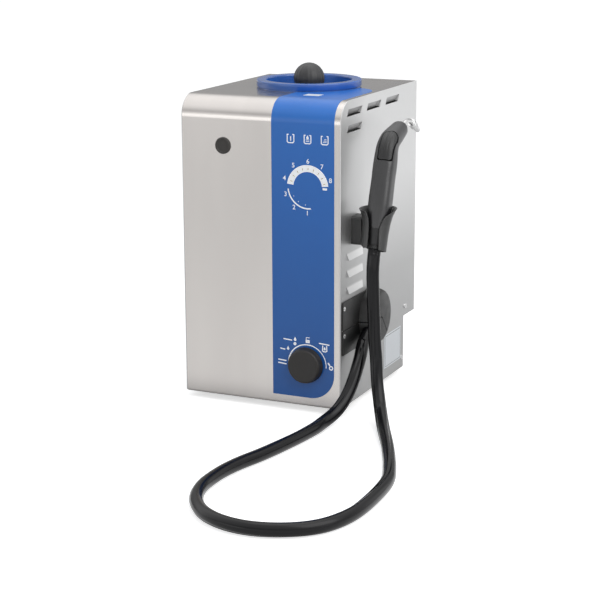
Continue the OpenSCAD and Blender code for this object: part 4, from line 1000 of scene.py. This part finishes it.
def make_cup():
    """Flared cup with an open front; its opening widens towards the rim in a soft curve."""
    levels, turns = 40, 48
    bm = bmesh.new()

    def grid(inset):
        rows = []
        for i in range(levels + 1):
            base = CUP_H * i / levels
            low = -90 + between(CUP_RIGHT, base)
            high = 270 - between(CUP_LEFT, base)
            row = []
            for k in range(turns + 1):
                a = mix(low, high, k / turns)
                radius = between(CUP_OUT, base)
                rim = CUP_H + CUP_LEAN * radius * math.sin(math.radians(a))
                x, y = on_arc((0, 0), radius - inset, a)
                row.append(bm.verts.new(CUP @ mm(x, y, mix(cup_foot(a), rim, i / levels))))
            rows.append(row)
        return rows

    outer, inner = grid(0), grid(CUP_WALL)
    for i in range(levels):
        for k in range(turns):
            bm.faces.new((outer[i][k], outer[i][k + 1], outer[i + 1][k + 1], outer[i + 1][k]))
            bm.faces.new((inner[i][k], inner[i + 1][k], inner[i + 1][k + 1], inner[i][k + 1]))
        for k in (0, turns):
            bm.faces.new((outer[i][k], outer[i + 1][k], inner[i + 1][k], inner[i][k]))
    for k in range(turns):
        for i in (0, levels):
            bm.faces.new((outer[i][k], inner[i][k], inner[i][k + 1], outer[i][k + 1]))
    cup = piece("cup", bm, M["holder"], "housing")
    sharpen(cup, 40)
    bevel(cup, 0.9, 3, 50)
    make_cup_lip()
    make_cup_link()


def make_cup_lip():
    """Rolled lip with small ribs at the foot of the cup, left of the opening."""
    bm = bmesh.new()
    wide, high = LIP_SIZE
    for rib in range(LIP_RIBS):
        tube = []
        for i in range(19):
            a = mix(*LIP_ARC, i / 18)
            out = Vector((*on_arc((0, 0), 1, a), 0))
            up = Vector((0, 0, 1))
            middle = (LIP_R - LIP_STEP[0] * rib) * out + (cup_foot(a) + LIP_STEP[1] * rib) * up
            turns = [2 * math.pi * k / LIP_SIDES for k in range(LIP_SIDES)]
            tube.append([CUP @ ((middle + wide * math.cos(t) * out + high * math.sin(t) * up) * MM)
                         for t in turns])
        part = rings_mesh(tube)
        mesh = bpy.data.meshes.new("work")
        part.to_mesh(mesh)
        part.free()
        bm.from_mesh(mesh)
        bpy.data.meshes.remove(mesh)
    piece("cup_lip", bm, M["knob"], "housing")


def make_cup_link():
    """Foot between the cup and its block on the side sheet."""
    bm = bmesh.new()
    prism(bm, LINK, at(0, 0, 0), *LINK_Z)
    link = piece("cup_link", bm, M["holder"], "housing", ("holder_cradle",))
    bevel(link, 1.2, 3, 50)


# ------------------------------------------------------------------ small fittings

INLET = (-37.5, 113.2)     # middle of the hose housing on the side sheet, as Y and Z
INLET_BELL = [(38.8, 0), (37.6, 7), (36.2, 13), (34.8, 16.6), (33.0, 18.5), (30.5, 19.2)]
INLET_PLATE = [(-128.5, 80), (-128.5, 148.5), (-127, 150), (-37, 150), (-37, 80)]
INLET_T = 2.2
INLET_SEAM = -52           # direction of the seam behind the middle
INLET_GAP = 1.2
INLET_FAR = 120            # reach of the form that parts the halves
INLET_DEPTH = (-5, 30)


def side_face(x):
    """Frame of a plane beside the object: its own x and y run along Y and Z."""
    return at(x, 0, 0) @ Matrix(((0, 0, 1, 0), (1, 0, 0, 0), (0, 1, 0, 0), (0, 0, 0, 1)))


def inlet_form():
    """Whole form of the hose housing, before it is parted."""
    bell = lathe(INLET_BELL, at(SIDE_X, *INLET, 90, "Y"), 96)
    plate = bmesh.new()
    prism(plate, INLET_PLATE, side_face(SIDE_X), 0, INLET_T)
    return combined(bell, plate, "UNION")


def make_inlet():
    """Hose housing in two halves: a bell on a thin plate, parted by a seam."""
    y, z = INLET
    far = INLET_FAR
    seam_end = on_arc(INLET, far, INLET_SEAM)
    outline = [(y - far, z), (y, z), seam_end, (y + far, z + far), (y - far, z + far)]
    for half, gap, operation in (("upper", 0, "INTERSECT"), ("lower", INLET_GAP, "DIFFERENCE")):
        above = bmesh.new()
        prism(above, [(a, b - gap) for a, b in outline], side_face(SIDE_X), *INLET_DEPTH)
        skin = piece("inlet_" + half, combined(inlet_form(), above, operation), M["housing"], "housing",
                     ("hose_housing_" + half,))
        sharpen(skin, 35)
        bevel(skin, 0.4, 2, 50)


SCREW_FACES = [(114.6, -124.5, 141.5), (114.6, -124.5, 105.5), (113.6, 96, 95), (113.6, 83, 24)]
SOCKET_R = 1.0
SOCKET_DEPTH = (-0.4, 0.03)


def make_screw_socket_shade():
    """Dark hexagons in the screw heads on the right-hand side: painted shade that stands for their sockets.
    """
    bm = bmesh.new()
    for face in SCREW_FACES:
        prism(bm, polygon((0, 0), SOCKET_R, 6), at(*face, 90, "Y"), *SOCKET_DEPTH)
    piece("screw_socket_shade", bm, M["plug"], "housing", soft=False)


PLATE = (21.8, 25.6, 77.4, 68.4)     # its line, as the Y and Z of two corners
PLATE_T = 0.5
PLATE_LINE = 0.5
PLATE_LINE_T = 0.05


def make_plate_edge():
    """Fine line round the bare rating plate."""
    bm = bmesh.new()
    x0, y0, x1, y1 = PLATE
    w = PLATE_LINE
    strips = ((x0, y0, x1, y0 + w), (x0, y1 - w, x1, y1), (x0, y0, x0 + w, y1), (x1 - w, y0, x1, y1))
    for a, b, c, d in strips:
        prism(bm, [(a, b), (c, b), (c, d), (a, d)], side_face(SIDE_X + PLATE_T), 0, PLATE_LINE_T)
    piece("plate_line", bm, M["plug"], "housing", soft=False)


# ------------------------------------------------------------------ build

make_materials()
make_studio()
dress_solids()
make_hose()
make_fill_ring()
make_ball()
make_selector()
make_dial()
make_knob_print()
make_top_patch()
make_handpiece()
make_nozzle_tip()
make_cup()
make_inlet()
make_screw_socket_shade()
make_plate_edge()
